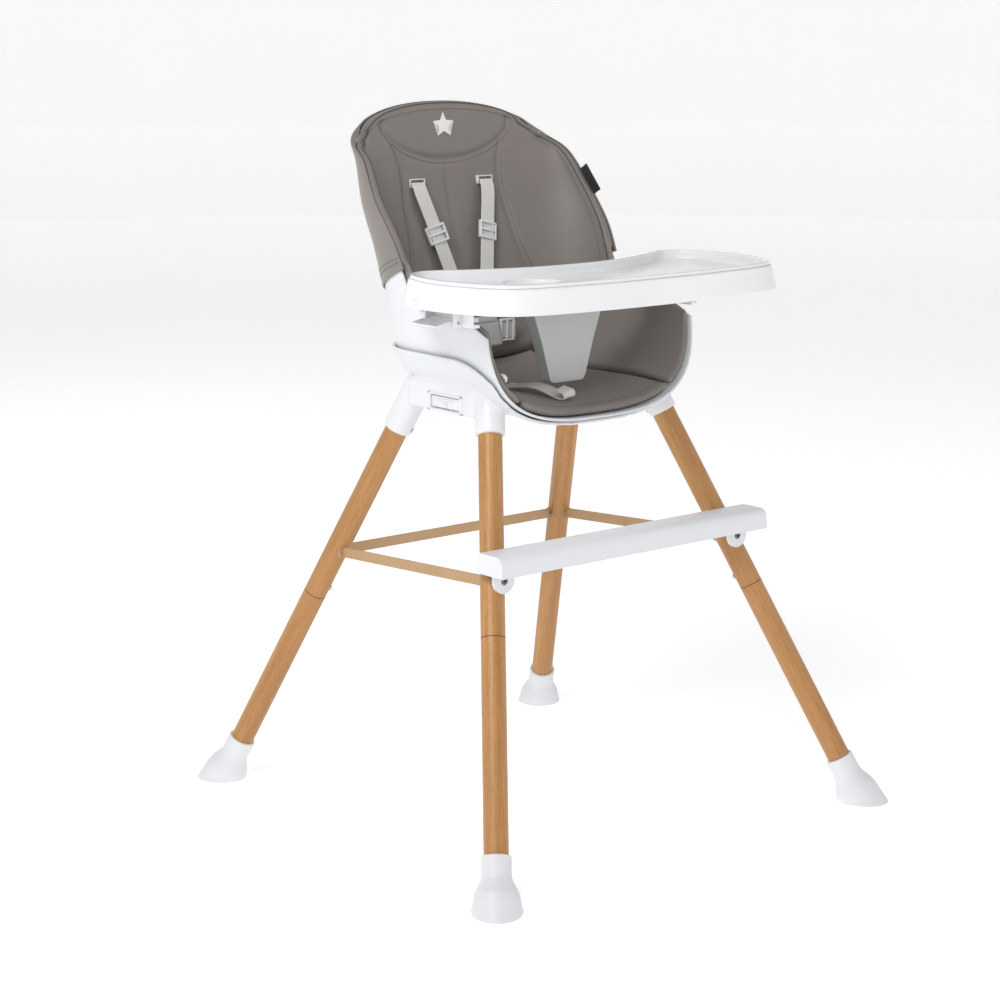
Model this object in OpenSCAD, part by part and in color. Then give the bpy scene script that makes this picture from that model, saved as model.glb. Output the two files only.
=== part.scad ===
// Baby high chair. A padded bucket seat with a harness sits in a moulded
// base on four splayed two-part legs, with a footrest and a sliding tray.
// Left and right are as seen from the front: left is -X. The front is -Y.
// The origin is on the floor, below the middle of the chair.

/* [Legs] */
// Outer diameter of the leg tubes
leg_d = 32; // [28:0.5:36]
// Wall thickness of the leg tubes
leg_wall = 1.5; // [1.2:0.1:2]
// From the middle to a front foot, sideways
front_foot_x = 334; // [300:1:360]
// From the middle to a rear foot, sideways
rear_foot_x = 303; // [280:1:340]
// From the middle to a foot, front to back
foot_y = 332; // [310:1:360]
// Height of the joint in the front legs
split_front_z = 307; // [270:1:320]
// Height of the joint in the rear legs
split_rear_z = 288; // [260:1:310]
// Radius of a foot's sole
sole_r = 33; // [28:1:38]

/* [Seat] */
// Width of the seat shell across the arms
seat_w = 370; // [340:1:420]
// Height of the underside of the seat
seat_z = 560; // [540:1:640]
// Wall thickness of the seat shell
shell_wall = 3.5; // [2.5:0.1:4.5]
// Thickness of the padding in the middle of the back
pad_t = 28; // [20:1:32]
// Width of the harness webbing
webbing_w = 23; // [19:1:25]

/* [Tray] */
// Overall width of the tray
tray_w = 554; // [500:2:600]
// Height of the tray's skirt
skirt_h = 38; // [32:1:42]
// Wall thickness of the tray
tray_wall = 3; // [2.4:0.1:3.5]
// Radius of the round recess for a cup
cup_r = 38; // [32:1:42]

/* [Footrest and braces] */
// Length of the footrest
footrest_w = 478; // [440:2:520]
// Height of the footrest's top
footrest_z = 416; // [390:1:430]
// Height of the flat brace bars
bar_h = 14; // [10:1:18]
// Thickness of the flat brace bars
bar_t = 3; // [2:0.5:4]

/* [Hidden] */
$fn = 64;
eps = 0.01;
fit = 0.05;       // radial clearance of a sliding pin
gap = 0.4;        // clearance between neighbouring pieces
pad_gap = 1.5;    // room between the padding and the shell
leg_r = leg_d / 2;
hw = seat_w / 2;
WHITE = [0.93, 0.93, 0.94];
WOOD = [0.78, 0.58, 0.36];
GREY = [0.50, 0.47, 0.45];
STEEL = [0.72, 0.73, 0.74];
WEB = [0.79, 0.79, 0.77];

// ---- general helpers --------------------------------------------------
function unit(v) = v / norm(v);
function side(k) = k % 2 == 0 ? -1 : 1;
function mix(a, b, f) = a + (b - a) * f;
// Catmull-Rom curve through a list of points or vectors, u in list steps
function cr(a, b, c, d, f) =
    b + 0.5 * f * ((c - a) + f * ((2 * a - 5 * b + 4 * c - d) + f * (3 * (b - c) + d - a)));
function curve(list, u) =
    let (n = len(list), i = min(max(floor(u), 0), n - 2), f = u - i,
         b = list[i], c = list[i + 1],
         a = i > 0 ? list[i - 1] : 2 * b - c,
         d = i < n - 2 ? list[i + 2] : 2 * c - b)
    cr(a, b, c, d, f);
// Points spaced evenly from a to b, n steps
function steps(a, b, n) = [for (i = [0:n]) a + (b - a) * i / n];

// Places its children at p with their Z axis along v
module along(p, v) {
    translate(p)
        rotate([0, 0, atan2(v[1], v[0])])
            rotate([0, acos(v[2] / norm(v)), 0])
                children();
}

// A closed solid between two grids of points of the same size
module sheet_solid(inner, outer) {
    rows = len(inner);
    cols = len(inner[0]);
    half = rows * cols;
    rim = concat([for (j = [0:cols - 1]) j],
                 [for (i = [1:rows - 1]) i * cols + cols - 1],
                 [for (j = [cols - 2:-1:0]) (rows - 1) * cols + j],
                 [for (i = [rows - 2:-1:1]) i * cols]);
    polyhedron(
        points = concat([for (r = inner) each r], [for (r = outer) each r]),
        faces = concat(
            [for (i = [0:rows - 2], j = [0:cols - 2]) let (a = i * cols + j)
                each [[a, a + cols + 1, a + 1], [a, a + cols, a + cols + 1]]],
            [for (i = [0:rows - 2], j = [0:cols - 2]) let (a = half + i * cols + j)
                each [[a, a + 1, a + cols + 1], [a, a + cols + 1, a + cols]]],
            [for (i = [0:len(rim) - 1]) let (a = rim[i], b = rim[(i + 1) % len(rim)])
                each [[a, b, b + half], [a, b + half, a + half]]]),
        convexity = 10);
}

// A closed frame from rings of points, the last ring joined to the first.
// The rings go up on the outside and down on the inside.
module loop_solid(rings) {
    n = len(rings[0]);
    m = len(rings);
    polyhedron(
        points = [for (r = rings) each r],
        faces = [for (i = [0:m - 1], j = [0:n - 1])
            let (a = i * n, b = (i + 1) % m * n, k = (j + 1) % n)
            each [[a + j, b + k, a + k], [a + j, b + j, b + k]]],
        convexity = 10);
}

// ---- legs ----------------------------------------------------------------
// Legs 0 and 1 are the front ones, 2 and 3 the rear ones; even is left.
function foot_of(k) =
    [side(k) * (k < 2 ? front_foot_x : rear_foot_x), k < 2 ? -foot_y : foot_y, 0];
// Middle of the lower end of the socket
function socket_of(k) =
    [side(k) * (hw - (k < 2 ? 29 : 27)), k < 2 ? -103 : 97, seat_z - (k < 2 ? 13 : 31)];
function leg_dir(k) = unit(socket_of(k) - foot_of(k));
function leg_at_z(k, z) = foot_of(k) + leg_dir(k) * z / leg_dir(k)[2];
function split_of(k) = k < 2 ? split_front_z : split_rear_z;
socket_l = 36;        // depth of the leg in its socket
socket_wall = 4;
spigot_l = 60;        // length of the lower leg inside the upper one
spigot_r = leg_r - leg_wall - 0.1;
button_r = 3.5;
button_up = 18;       // height of the spring button above the joint
foot_in = 26;         // start of the tube inside the foot, along the leg
collar_end = 70;      // top of the foot's collar, along the leg

module leg_frame(k, p) {
    along(p, leg_dir(k)) children();
}

module upper_leg(k) {
    a = leg_at_z(k, split_of(k));
    l = norm(socket_of(k) - a) + socket_l - 1;
    color(WOOD)
        leg_frame(k, a) difference() {
            cylinder(h = l, r = leg_r);
            translate([0, 0, -eps])
                cylinder(h = l + 1, r = leg_r - leg_wall);
            translate([0, 0, button_up])
                rotate([0, 90, 0])
                    cylinder(h = leg_d, r = button_r + fit);
        }
}

module lower_leg(k) {
    a = leg_at_z(k, split_of(k));
    l = norm(a - foot_of(k)) - foot_in;
    color(WOOD)
        leg_frame(k, a) difference() {
            union() {
                translate([0, 0, -l])
                    cylinder(h = l - 0.3, r = leg_r);
                translate([0, 0, -l])
                    cylinder(h = l + spigot_l, r = spigot_r);
            }
            translate([0, 0, -l - 1])
                cylinder(h = l + spigot_l + 2, r = spigot_r - leg_wall);
            translate([0, 0, button_up])
                rotate([0, 90, 0])
                    cylinder(h = leg_d, r = button_r + fit);
        }
}

module leg_button(k) {
    a = leg_at_z(k, split_of(k));
    color(STEEL)
        leg_frame(k, a) translate([0, 0, button_up]) rotate([0, 90, 0]) {
            translate([0, 0, spigot_r - 6])
                cylinder(h = 6 + leg_r - spigot_r + 1.5, r = button_r);
            translate([0, 0, leg_r + 1.5])
                intersection() {
                    translate([0, 0, -5.3]) sphere(r = 6.4);
                    cylinder(h = 2, r = button_r);
                }
        }
}

// Bent spring strips that push the buttons out, one in each lower leg
module leg_springs() {
    strip_w = 8;
    strip_t = 0.8;
    inner_r = spigot_r - leg_wall;
    color(STEEL)
        for (k = [0:3])
            leg_frame(k, leg_at_z(k, split_of(k)))
                translate([0, -strip_w / 2, 0]) {
                    translate([3.5, 0, button_up - 9])
                        cube([strip_t, strip_w, 14]);
                    translate([-inner_r + 2, 0, button_up - 22])
                        cube([strip_t, strip_w, 27]);
                    translate([-inner_r + 2, 0, button_up - 22])
                        cube([inner_r - 2 + 3.5 + strip_t, strip_w, strip_t]);
                    translate([3.5, 0, button_up - 22])
                        cube([strip_t, strip_w, 14]);
                }
}

module foot(k) {
    // Bell profile about the leg axis: [distance along the leg, radius]
    bell = [[-18, sole_r + 1], [-8, sole_r], [4, sole_r - 1.5], [14, sole_r - 2.5],
        [22, sole_r - 4.5], [29, sole_r - 7.5], [35, leg_r + 6.5], [41, leg_r + 4.2],
        [46, leg_r + 3.5]];
    color(WHITE)
        difference() {
            union() {
                translate(foot_of(k))
                    rotate_extrude()
                        polygon([[0, 0], [sole_r - 2, 0], [sole_r, 2], [sole_r - 1.5, 6],
                                 [sole_r - 6, 9], [0, 9]]);
                leg_frame(k, foot_of(k))
                    rotate_extrude()
                        polygon(concat([[0, -18]], [for (p = bell) [p[1], p[0]]],
                                       [[leg_r + 3.5, collar_end - 1], [leg_r + 2.5, collar_end],
                                        [0, collar_end]]));
            }
            leg_frame(k, foot_of(k)) translate([0, 0, foot_in])
                cylinder(h = collar_end, r = leg_r + fit);
            translate(foot_of(k) + [-100, -100, -100])
                cube([200, 200, 100]);
        }
}

// ---- seat surface -------------------------------------------------------
// The outside of the seat shell is a fan of U-shaped curves. Each row gives
// the edge of one curve (half width, y, height above the seat's underside),
// its middle (y, height), its squareness and the padding inside its middle.
SEAT = [
    [hw - 1, -127, 138, -148, 0, 3.0, 13],
    [hw - 1, -95, 150, -85, 0, 2.7, 24],
    [hw, -52, 156, 5, 2, 2.5, pad_t - 3],
    [hw, -14, 160, 84, 8, 2.5, pad_t],
    [hw + 1, 6, 167, 132, 36, 2.6, pad_t + 4],
    [hw + 2, 20, 177, 153, 84, 2.5, pad_t + 5],
    [hw + 4, 33, 196, 170, 138, 2.3, pad_t + 5],
    [hw + 7, 56, 238, 187, 202, 2.2, pad_t + 4],
    [hw + 7, 93, 285, 202, 268, 2.2, pad_t],
    [hw - 2, 129, 333, 209, 332, 2.2, pad_t - 4],
    [hw - 12, 161, 352, 211, 375, 2.4, pad_t - 8],
    [hw - 32, 178, 360, 208, 408, 2.1, 14]];
seat_rows = len(SEAT) - 1;
pad_edge = 11;        // depth of the padding's face at the seat's edges

function seat_point(s, u) =
    let (k = curve(SEAT, u), e = 2 / k[5],
         a = sign(s) * pow(abs(sin(90 * s)), e),
         b = pow(max(cos(90 * s), 0), e))
    [k[0] * a, mix(k[1], k[3], b), seat_z + mix(k[2], k[4], b)];
function seat_inward(s, u) =
    let (m = max(min(s, 0.92), -0.92), s0 = m - 0.01, s1 = m + 0.01,
         u0 = max(u - 0.02, 0), u1 = min(u + 0.02, seat_rows))
    unit(cross(seat_point(s1, u) - seat_point(s0, u), seat_point(s, u1) - seat_point(s, u0)));
function seat_at(s, u, depth) = seat_point(s, u) + seat_inward(s, u) * depth;
function pad_depth(s, u) =
    let (t = curve(SEAT, u)[6])
    pad_edge + max(t - pad_edge, 0) * (1 - pow(abs(s), 2.5));
// Columns shared by the layers of the seat, out to lim on both sides
function columns(lim) = [for (i = [-12:12]) max(min(i / 12, lim), -lim)];
// Rows shared by the layers, every half row between a and b
function rows(a, b) =
    concat([a], [for (i = [floor(a * 2) + 1:ceil(b * 2) - 1]) i / 2], [b]);
// A sheet between two depths over rows us and columns ss
module seat_sheet(us, ss, deep, shallow) {
    sheet_solid([for (u = us) [for (s = ss) seat_at(s, u, deep)]],
                [for (u = us) [for (s = ss) seat_at(s, u, shallow)]]);
}
// Height along the back at which the shoulder straps come through
slot_x = 61;
slot_z = seat_z + 297;
module strap_slots(margin) {
    for (m = [-1, 1])
        translate([m * slot_x - webbing_w / 2 - margin, 120, slot_z - 4 - margin])
            cube([webbing_w + 2 * margin, 140, 8 + 2 * margin]);
}
// Arm rails that the tray slides on
rail_y0 = -112;
rail_y1 = -4;
rail_z = seat_z + 146;
rail_out = hw + 12;

module seat_shell() {
    color(WHITE)
        difference() {
            union() {
                seat_sheet(rows(0, seat_rows - 0.2), columns(0.97), shell_wall, 0);
                for (m = [-1, 1])
                    translate([m > 0 ? hw - 2.5 : -rail_out, rail_y0, rail_z - 6])
                        cube([rail_out - hw + 2.5, rail_y1 - rail_y0, 6]);
            }
            strap_slots(2);
        }
}

// ---- cushions -----------------------------------------------------------
pad_back_row = 3.9;   // row of the crease between seat and back
// Where the seat panel meets the side panels, as a part of the curve
function crease_s(u) = mix(0.46, 0.30, u / pad_back_row);

module seat_cushion() {
    us = rows(0.12, pad_back_row - 0.05);
    c = 12;
    color(GREY)
        sheet_solid(
            [for (u = us) [for (f = steps(-1, 1, c)) let (s = f * (crease_s(u) - 0.01))
                seat_at(s, u, pad_depth(s, u))]],
            [for (u = us) [for (f = steps(-1, 1, c)) let (s = f * (crease_s(u) - 0.01))
                seat_at(s, u, shell_wall + pad_gap)]]);
}

module side_cushion(m) {
    us = rows(0.12, pad_back_row - 0.05);
    fs = steps(0, 1, 7);
    s_at = function (f, u) m > 0 ? mix(crease_s(u) + 0.01, 0.985, f)
                                 : -mix(crease_s(u) + 0.01, 0.985, 1 - f);
    color(GREY)
        sheet_solid(
            [for (u = us) [for (f = fs) seat_at(s_at(f, u), u, pad_depth(s_at(f, u), u))]],
            [for (u = us) [for (f = fs) seat_at(s_at(f, u), u, shell_wall + pad_gap)]]);
}

module back_cushion() {
    us = rows(pad_back_row + 0.02, seat_rows);
    ss = columns(1);
    color(GREY)
        difference() {
            sheet_solid([for (u = us) [for (s = ss) seat_at(s, u, pad_depth(s, u))]],
                        [for (u = us) [for (s = ss) seat_at(s, u, shell_wall + pad_gap)]]);
            strap_slots(2);
        }
}

// Outer panel of the cover, behind the shell from the arms to the top
cover_row = 6.2;
cover_gap = 1;
module back_cover() {
    us = rows(cover_row, seat_rows);
    color(GREY)
        difference() {
            seat_sheet(us, columns(1), -cover_gap, -cover_gap - 2.5);
            strap_slots(2);
        }
}

// ---- base ---------------------------------------------------------------
bowl_gap = 2;         // clearance between seat and base
bowl_t = 4;
bowl_row = 4.75;      // last row of the bowl, at the back
bowl_rim = 86;        // height of the bowl's rim above the seat's underside
// Half width of the bowl on row u, as a part of the curve
function rim_s(u) =
    let (k = curve(SEAT, u),
         z = bowl_rim - 30 * pow(max(1 - u / 1.5, 0), 1.5),
         c = (k[2] - z) / (k[2] - k[4]))
    c >= 1 ? 0.02 : acos(pow(max(c, 0), k[5] / 2)) / 90;
house_x = hw - 20;    // outer wall of the latch housings
house_y0 = -76;
house_y1 = 62;
house_z0 = seat_z + 8;
house_z1 = seat_z + 48;
window_y0 = -50;
window_y1 = 11;

module base_cradle() {
    us = concat([0.1], rows(0.5, bowl_row));
    fs = steps(-1, 1, 24);
    color(WHITE)
        difference() {
            union() {
                sheet_solid([for (u = us) [for (f = fs) seat_at(f * rim_s(u), u, -bowl_gap)]],
                            [for (u = us) [for (f = fs)
                                seat_at(f * rim_s(u), u, -bowl_gap - bowl_t)]]);
                difference() {
                    union() {
                        for (k = [0:3]) leg_frame(k, socket_of(k))
                            cylinder(h = k < 2 ? 58 : 76, r = leg_r + socket_wall);
                        for (m = [0, 1]) mirror([m, 0, 0]) side_house();
                    }
                    seat_sheet(rows(0, 6), columns(1), 45, -bowl_gap - 0.5);
                }
            }
            // leg sockets
            for (k = [0:3]) leg_frame(k, socket_of(k)) {
                translate([0, 0, -1]) cylinder(h = socket_l + 1, r = leg_r + fit);
                translate([0, 0, 10]) rotate([0, 90, 0]) cylinder(h = leg_d, r = 2);
                translate([leg_r + socket_wall - 1.5, 0, 10]) rotate([0, 90, 0])
                    cylinder(h = 10, r = 4);
            }
            // room inside the housings, and the window of each latch button
            for (m = [0, 1]) mirror([m, 0, 0]) {
                translate([hw - 50, window_y0 - 4, house_z0 + 3])
                    cube([house_x - 3 - hw + 50, window_y1 - window_y0 + 8, 19]);
                translate([house_x - 4, window_y0, house_z0 + 4])
                    cube([10, window_y1 - window_y0, 18]);
            }
        }
}

// Housing of a latch, a beam between the front and rear sockets
module side_house() {
    translate([0, house_y1, 0]) rotate([90, 0, 0])
        linear_extrude(house_y1 - house_y0)
            polygon([[house_x, house_z0], [house_x, house_z1 - 8], [house_x - 1, house_z1],
                     [house_x - 12, house_z1], [hw - 80, seat_z + 16], [hw - 80, house_z0]]);
}

module socket_screws() {
    color(STEEL)
        for (k = [0:3]) leg_frame(k, socket_of(k)) translate([0, 0, 10]) rotate([0, 90, 0])
            difference() {
                union() {
                    translate([0, 0, leg_r + fit])
                        cylinder(h = socket_wall, r = 1.9);
                    translate([0, 0, leg_r + socket_wall - 1.4])
                        cylinder(h = 2, r = 3.6);
                }
                translate([0, 0, leg_r + socket_wall - 0.4])
                    cylinder(h = 3, r = 1.8, $fn = 6);
            }
}

// Sprung latch buttons, pressed towards the middle to free the seat
latch_travel = 4;
module latch_button(m) {
    x1 = house_x;
    mid_y = (window_y0 + window_y1) / 2;
    mid_z = house_z0 + 13;
    color(WHITE) mirror([m < 0 ? 1 : 0, 0, 0])
        difference() {
            union() {
                translate([x1 - 7, window_y0 + gap, house_z0 + 4 + gap])
                    cube([7.5, window_y1 - window_y0 - 2 * gap, 18 - 2 * gap]);
                translate([x1 - 11, window_y0 - 3, house_z0 + 3 + gap])
                    cube([4 + eps, window_y1 - window_y0 + 6, 19 - 2 * gap]);
                translate([x1 - 16, mid_y, mid_z])
                    rotate([0, 90, 0]) cylinder(h = 6, r = 3);
            }
            translate([x1 - 3, mid_y - 17, mid_z - 4])
                cube([6, 34, 3]);
        }
}

module latch_springs() {
    mid_y = (window_y0 + window_y1) / 2;
    mid_z = house_z0 + 13;
    turns = 4;
    pitch = 4.2;
    color(STEEL)
        for (m = [0, 1]) mirror([m, 0, 0])
            for (i = [0:turns - 1])
                translate([hw - 49 + i * pitch, mid_y, mid_z]) rotate([0, 90, 0])
                    rotate_extrude() translate([4.4, 0]) circle(r = 0.6, $fn = 16);
}

// ---- braces and footrest --------------------------------------------------
brace_rear_z = 351;
brace_front_z = 372;
// Distance from a leg's axis to its surface along direction d
function reach(k, d) = leg_r / norm(cross(leg_dir(k), d));
module brace_bar(ka, za, kb, zb) {
    a = leg_at_z(ka, za);
    b = leg_at_z(kb, zb);
    d = unit(b - a);
    l = norm(b - a);
    color([0.76, 0.64, 0.48])
        difference() {
            translate(a) rotate([0, 0, atan2(d[1], d[0])]) rotate([0, -asin(d[2]), 0]) {
                translate([reach(ka, d) - 6, -bar_t / 2, -bar_h / 2])
                    cube([l - reach(ka, d) - reach(kb, d) + 12, bar_t, bar_h]);
                for (x = [reach(ka, d) - 5, l - reach(kb, d) - 1])
                    translate([x, -7, -bar_h / 2])
                        cube([6, 14, bar_h]);
            }
            for (k = [ka, kb]) leg_frame(k, leg_at_z(k, za - 60))
                cylinder(h = 140, r = leg_r + 0.02);
        }
}

module brace_screws() {
    pairs = [[2, brace_rear_z, 3, brace_rear_z], [2, brace_rear_z, 0, brace_front_z],
             [3, brace_rear_z, 1, brace_front_z]];
    color(STEEL)
        for (p = pairs, e = [0, 1]) {
            a = leg_at_z(p[e * 2], p[e * 2 + 1]);
            b = leg_at_z(p[2 - e * 2], p[3 - e * 2]);
            d = unit(b - a);
            translate(a) rotate([0, 0, atan2(d[1], d[0])]) rotate([0, -asin(d[2]), 0])
                translate([reach(p[e * 2], d) + 1.4, bar_t / 2 + 2.7, 0]) rotate([0, 90, 0])
                    cylinder(h = 1.6, r = 2.6);
        }
}

foot_y0 = -228;
foot_y1 = -176;
bracket_r = 17;
module footrest() {
    wall = 3;
    profile = [[foot_y0, footrest_z - 27], [foot_y0 + 1, footrest_z - 12],
               [foot_y0 + 5, footrest_z - 3], [foot_y0 + 10, footrest_z],
               [foot_y1 - 4, footrest_z], [foot_y1, footrest_z - 4],
               [foot_y1 + 2, footrest_z - 27]];
    core = [[foot_y0 + wall, footrest_z - 28], [foot_y0 + wall + 1, footrest_z - 12],
            [foot_y0 + 10, footrest_z - wall], [foot_y1 - 6, footrest_z - wall],
            [foot_y1 - wall, footrest_z - 28]];
    color(WHITE)
        difference() {
            translate([-footrest_w / 2, 0, 0]) rotate([90, 0, 90])
                linear_extrude(footrest_w) polygon(profile);
            difference() {
                translate([-footrest_w / 2 + wall, 0, 0]) rotate([90, 0, 90])
                    linear_extrude(footrest_w - 2 * wall) polygon(core);
                for (x = [-3:3])
                    translate([x * 56 - 1, foot_y0, footrest_z - 30])
                        cube([2, foot_y1 - foot_y0, 30]);
            }
            for (k = [0, 1]) leg_frame(k, leg_at_z(k, footrest_z - 60))
                cylinder(h = 120, r = leg_r + gap);
            for (m = [-1, 1], e = [-1, 1])
                translate([m * footrest_w / 2, e > 0 ? foot_y1 + 3 : foot_y0 - 1, footrest_z - 40])
                    rotate([0, 0, 45]) translate([-5, -5, 0]) cube([10, 10, 60]);
        }
}

// A clamp half around the front of each front leg, below the footrest
module footrest_bracket(k) {
    z = footrest_z - 38;
    p = leg_at_z(k, z);
    color(WHITE)
        difference() {
            union() {
                translate(p + [0, -leg_r - 4, 0]) rotate([90, 0, 0])
                    cylinder(h = 5, r = bracket_r);
                translate(p + [-bracket_r, -leg_r - 9, 0])
                    cube([2 * bracket_r, 5, footrest_z - 27.5 - z]);
                translate(p + [-8, -leg_r - 5, -9])
                    cube([16, 14, 18]);
            }
            leg_frame(k, leg_at_z(k, z - 40))
                cylinder(h = 100, r = leg_r + 0.02);
            translate([-300, foot_y0 - 50, footrest_z - 27.2])
                cube([600, 200, 60]);
            translate(p + [0, -leg_r - 10, 0]) rotate([-90, 0, 0])
                cylinder(h = 4, r = 5.5);
        }
}

module footrest_screws() {
    z = footrest_z - 38;
    color([0.2, 0.2, 0.21])
        for (k = [0, 1])
            translate(leg_at_z(k, z) + [0, -leg_r - 6.05, 0]) rotate([90, 0, 0])
                difference() {
                    cylinder(h = 3.4, r = 5);
                    translate([0, 0, 1.6]) cylinder(h = 3, r = 2.6, $fn = 6);
                }
}

// ---- harness --------------------------------------------------------------
web_t = 1.6;
// A flat strap along a path, w wide in the direction across it
module strap(path, across, w) {
    n = len(path) - 1;
    function tangent(i) = unit(path[min(i + 1, n)] - path[max(i - 1, 0)]);
    function square_to(t) = unit(across - t * (across * t));
    face = function (d) [for (i = [0:n])
        let (t = tangent(i), a = square_to(t), f = cross(t, a))
        [for (e = [-0.5, 0.5]) path[i] + a * e * w + f * d]];
    sheet_solid(face(web_t / 2), face(-web_t / 2));
}
buckle = [0, 98, seat_z + 90];
// Shoulder strap on side m: from behind the slot down to the buckle
function shoulder_path(m) = [
    [m * slot_x, 222, slot_z], [m * slot_x, 176, slot_z], [m * slot_x, 169, slot_z - 4],
    [m * 59, 163, slot_z - 18], [m * 52, 155, slot_z - 45], [m * 45, 147, slot_z - 73],
    [m * 38, 139, slot_z - 101], [m * 31, 131, slot_z - 129], [m * 24, 121, slot_z - 156],
    [m * 18, 112, slot_z - 175], [m * 16, 109, slot_z - 182]];
module shoulder_strap(m) {
    color(WEB) strap([for (p = steps(0, 10, 30)) curve(shoulder_path(m), p)], [1, 0, 0], webbing_w);
}

// Tri-glide adjuster: a frame with two slots that the webbing runs through
module tri_glide() {
    w = webbing_w + 9;
    difference() {
        translate([-w / 2, -13, -2.6]) cube([w, 26, 5.2]);
        for (y = [-8, 2])
            translate([-webbing_w / 2 - 0.6, y, -4]) cube([webbing_w + 1.2, 6, 8]);
        // the webbing lies across the middle bar
        translate([-webbing_w / 2 - 0.6, -14, -web_t / 2 - 0.7])
            cube([webbing_w + 1.2, 28, web_t + 1.4]);
    }
}
adjuster_u = 4.9;
module strap_adjuster(m) {
    p = curve(shoulder_path(m), adjuster_u);
    d = curve(shoulder_path(m), adjuster_u + 0.4) - curve(shoulder_path(m), adjuster_u - 0.4);
    color(WHITE)
        translate(p) rotate([atan2(d[2], d[1]), 0, 0])
            rotate([0, 0, -atan2(d[0], norm([d[1], d[2]]))])
                tri_glide();
}

module slot_trims() {
    color(WHITE)
        for (m = [-1, 1]) translate([m * slot_x, 0, slot_z]) difference() {
            translate([-webbing_w / 2 - 1.7, 170, -5.7]) cube([webbing_w + 3.4, 30, 11.4]);
            translate([-webbing_w / 2 - 0.5, 160, -4.2]) cube([webbing_w + 1, 60, 8.4]);
        }
}

module harness_buckle() {
    color([0.8, 0.8, 0.8])
        translate(buckle) rotate([-20, 0, 0]) difference() {
            translate([-24, -6, -22]) cube([48, 12, 44]);
            translate([-18, -7, 14]) cube([36, 14, 3]);
            translate([0, -7, -2]) rotate([-90, 0, 0]) cylinder(h = 3, r = 9);
        }
}
// Short end of the waist webbing beside the buckle, through its adjuster
waist_adjuster_x = 41;
module waist_adjuster() {
    color(WHITE)
        translate([waist_adjuster_x, buckle[1] + 2, buckle[2]]) rotate([90, 90, 0])
            tri_glide();
}
module waist_strap() {
    y = buckle[1] + 2;
    color(WEB) strap([[24.5, y, buckle[2]], [34, y, buckle[2]], [48, y, buckle[2]],
                      [57, y, buckle[2]]], [0, 0, 1], webbing_w);
}

// Crotch strap: out of the seat cushion, lying forwards to a folded end
module crotch_strap() {
    function on_pad(f) =
        let (q = mix(-0.14, -0.05, f), u = mix(1.85, 0.72, f))
        seat_at(q, u, pad_depth(q, u) + 4);
    tip = on_pad(1);
    d = unit(on_pad(1) - on_pad(0.8));
    path = concat([for (f = steps(0, 1, 10)) on_pad(f) + [0, 0, 7 * pow(sin(180 * f), 2)]],
                  [for (a = steps(-60, 90, 5)) tip + d * 5 * (0.5 + cos(a))
                      + [0, 0, 4.5 + 4.5 * sin(a)]],
                  [tip - d * 8 + [0, 0, 10]]);
    color(WEB) strap(path, [1, 0.1, 0.15], webbing_w);
}

// Round clip that holds the cover's edge to the shell, beside the left leg
module cover_clips() {
    color(WHITE)
        along(seat_at(-0.70, 0.25, pad_depth(0.70, 0.25) + 2), seat_inward(-0.70, 0.25)) {
            cylinder(h = 2, r = 7);
            translate([0, 0, 2 - eps]) cylinder(h = 3, r = 4.5);
        }
}

// Fabric loop sewn to the edge of the right wing
module side_tag() {
    u = 8.15;
    run = seat_at(1, u + 0.1, 0) - seat_at(1, u - 0.1, 0);
    t = run / norm(run);
    in = seat_inward(1, u);
    flat = in - (in * t) * t;
    n = flat / norm(flat);
    e = cross(t, n);
    p = seat_at(1, u, 0);
    color([0.1, 0.1, 0.11])
        multmatrix([for (i = [0:2]) [-t[i], e[i], n[i], p[i]]])
            translate([-22, 0.9, -2.4]) cube([44, 11, 2]);
}

// ---- tray -----------------------------------------------------------------
tray_z = seat_z + 164;     // lower edge of the skirt
tray_top = tray_z + skirt_h;
hx = tray_w / 2;
// Right half of the outline, from the middle of the front to the middle of
// the back
TRAY = [[0, -271], [55, -270], [110, -267], [185, -258], [hx - 47, -243], [hx - 22, -216],
        [hx - 7, -178], [hx, -130], [hx - 4, -92], [hx - 15, -58], [hx - 34, -32],
        [hx - 59, -20], [hx - 87, -25], [154, -44], [105, -63], [52, -75], [0, -78]];
tray_half = [for (u = steps(0, len(TRAY) - 1, 3 * (len(TRAY) - 1))) curve(TRAY, u)];
tray_line = concat(tray_half,
    [for (i = [len(tray_half) - 2:-1:1]) [-tray_half[i][0], tray_half[i][1]]]);
// The outline moved inwards by d, at height z
function tray_ring(d, z) =
    let (n = len(tray_line))
    [for (i = [0:n - 1])
        let (t = unit(tray_line[(i + 1) % n] - tray_line[(i + n - 1) % n]))
        [tray_line[i][0] - t[1] * d, tray_line[i][1] + t[0] * d, z]];
draft = 10;                // how far the skirt leans in
deck_z = tray_top - 17;
cup_pos = [-122, -150];
cup_deep = 7;
rail_x = rail_out + 1;

// The crotch post hangs just behind the tray's back edge
post_y = -79;
post_t = 20;
post_z0 = seat_z + 41;
post_w = 128;
neck_t = 20;
post_neck_y = -114;

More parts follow.
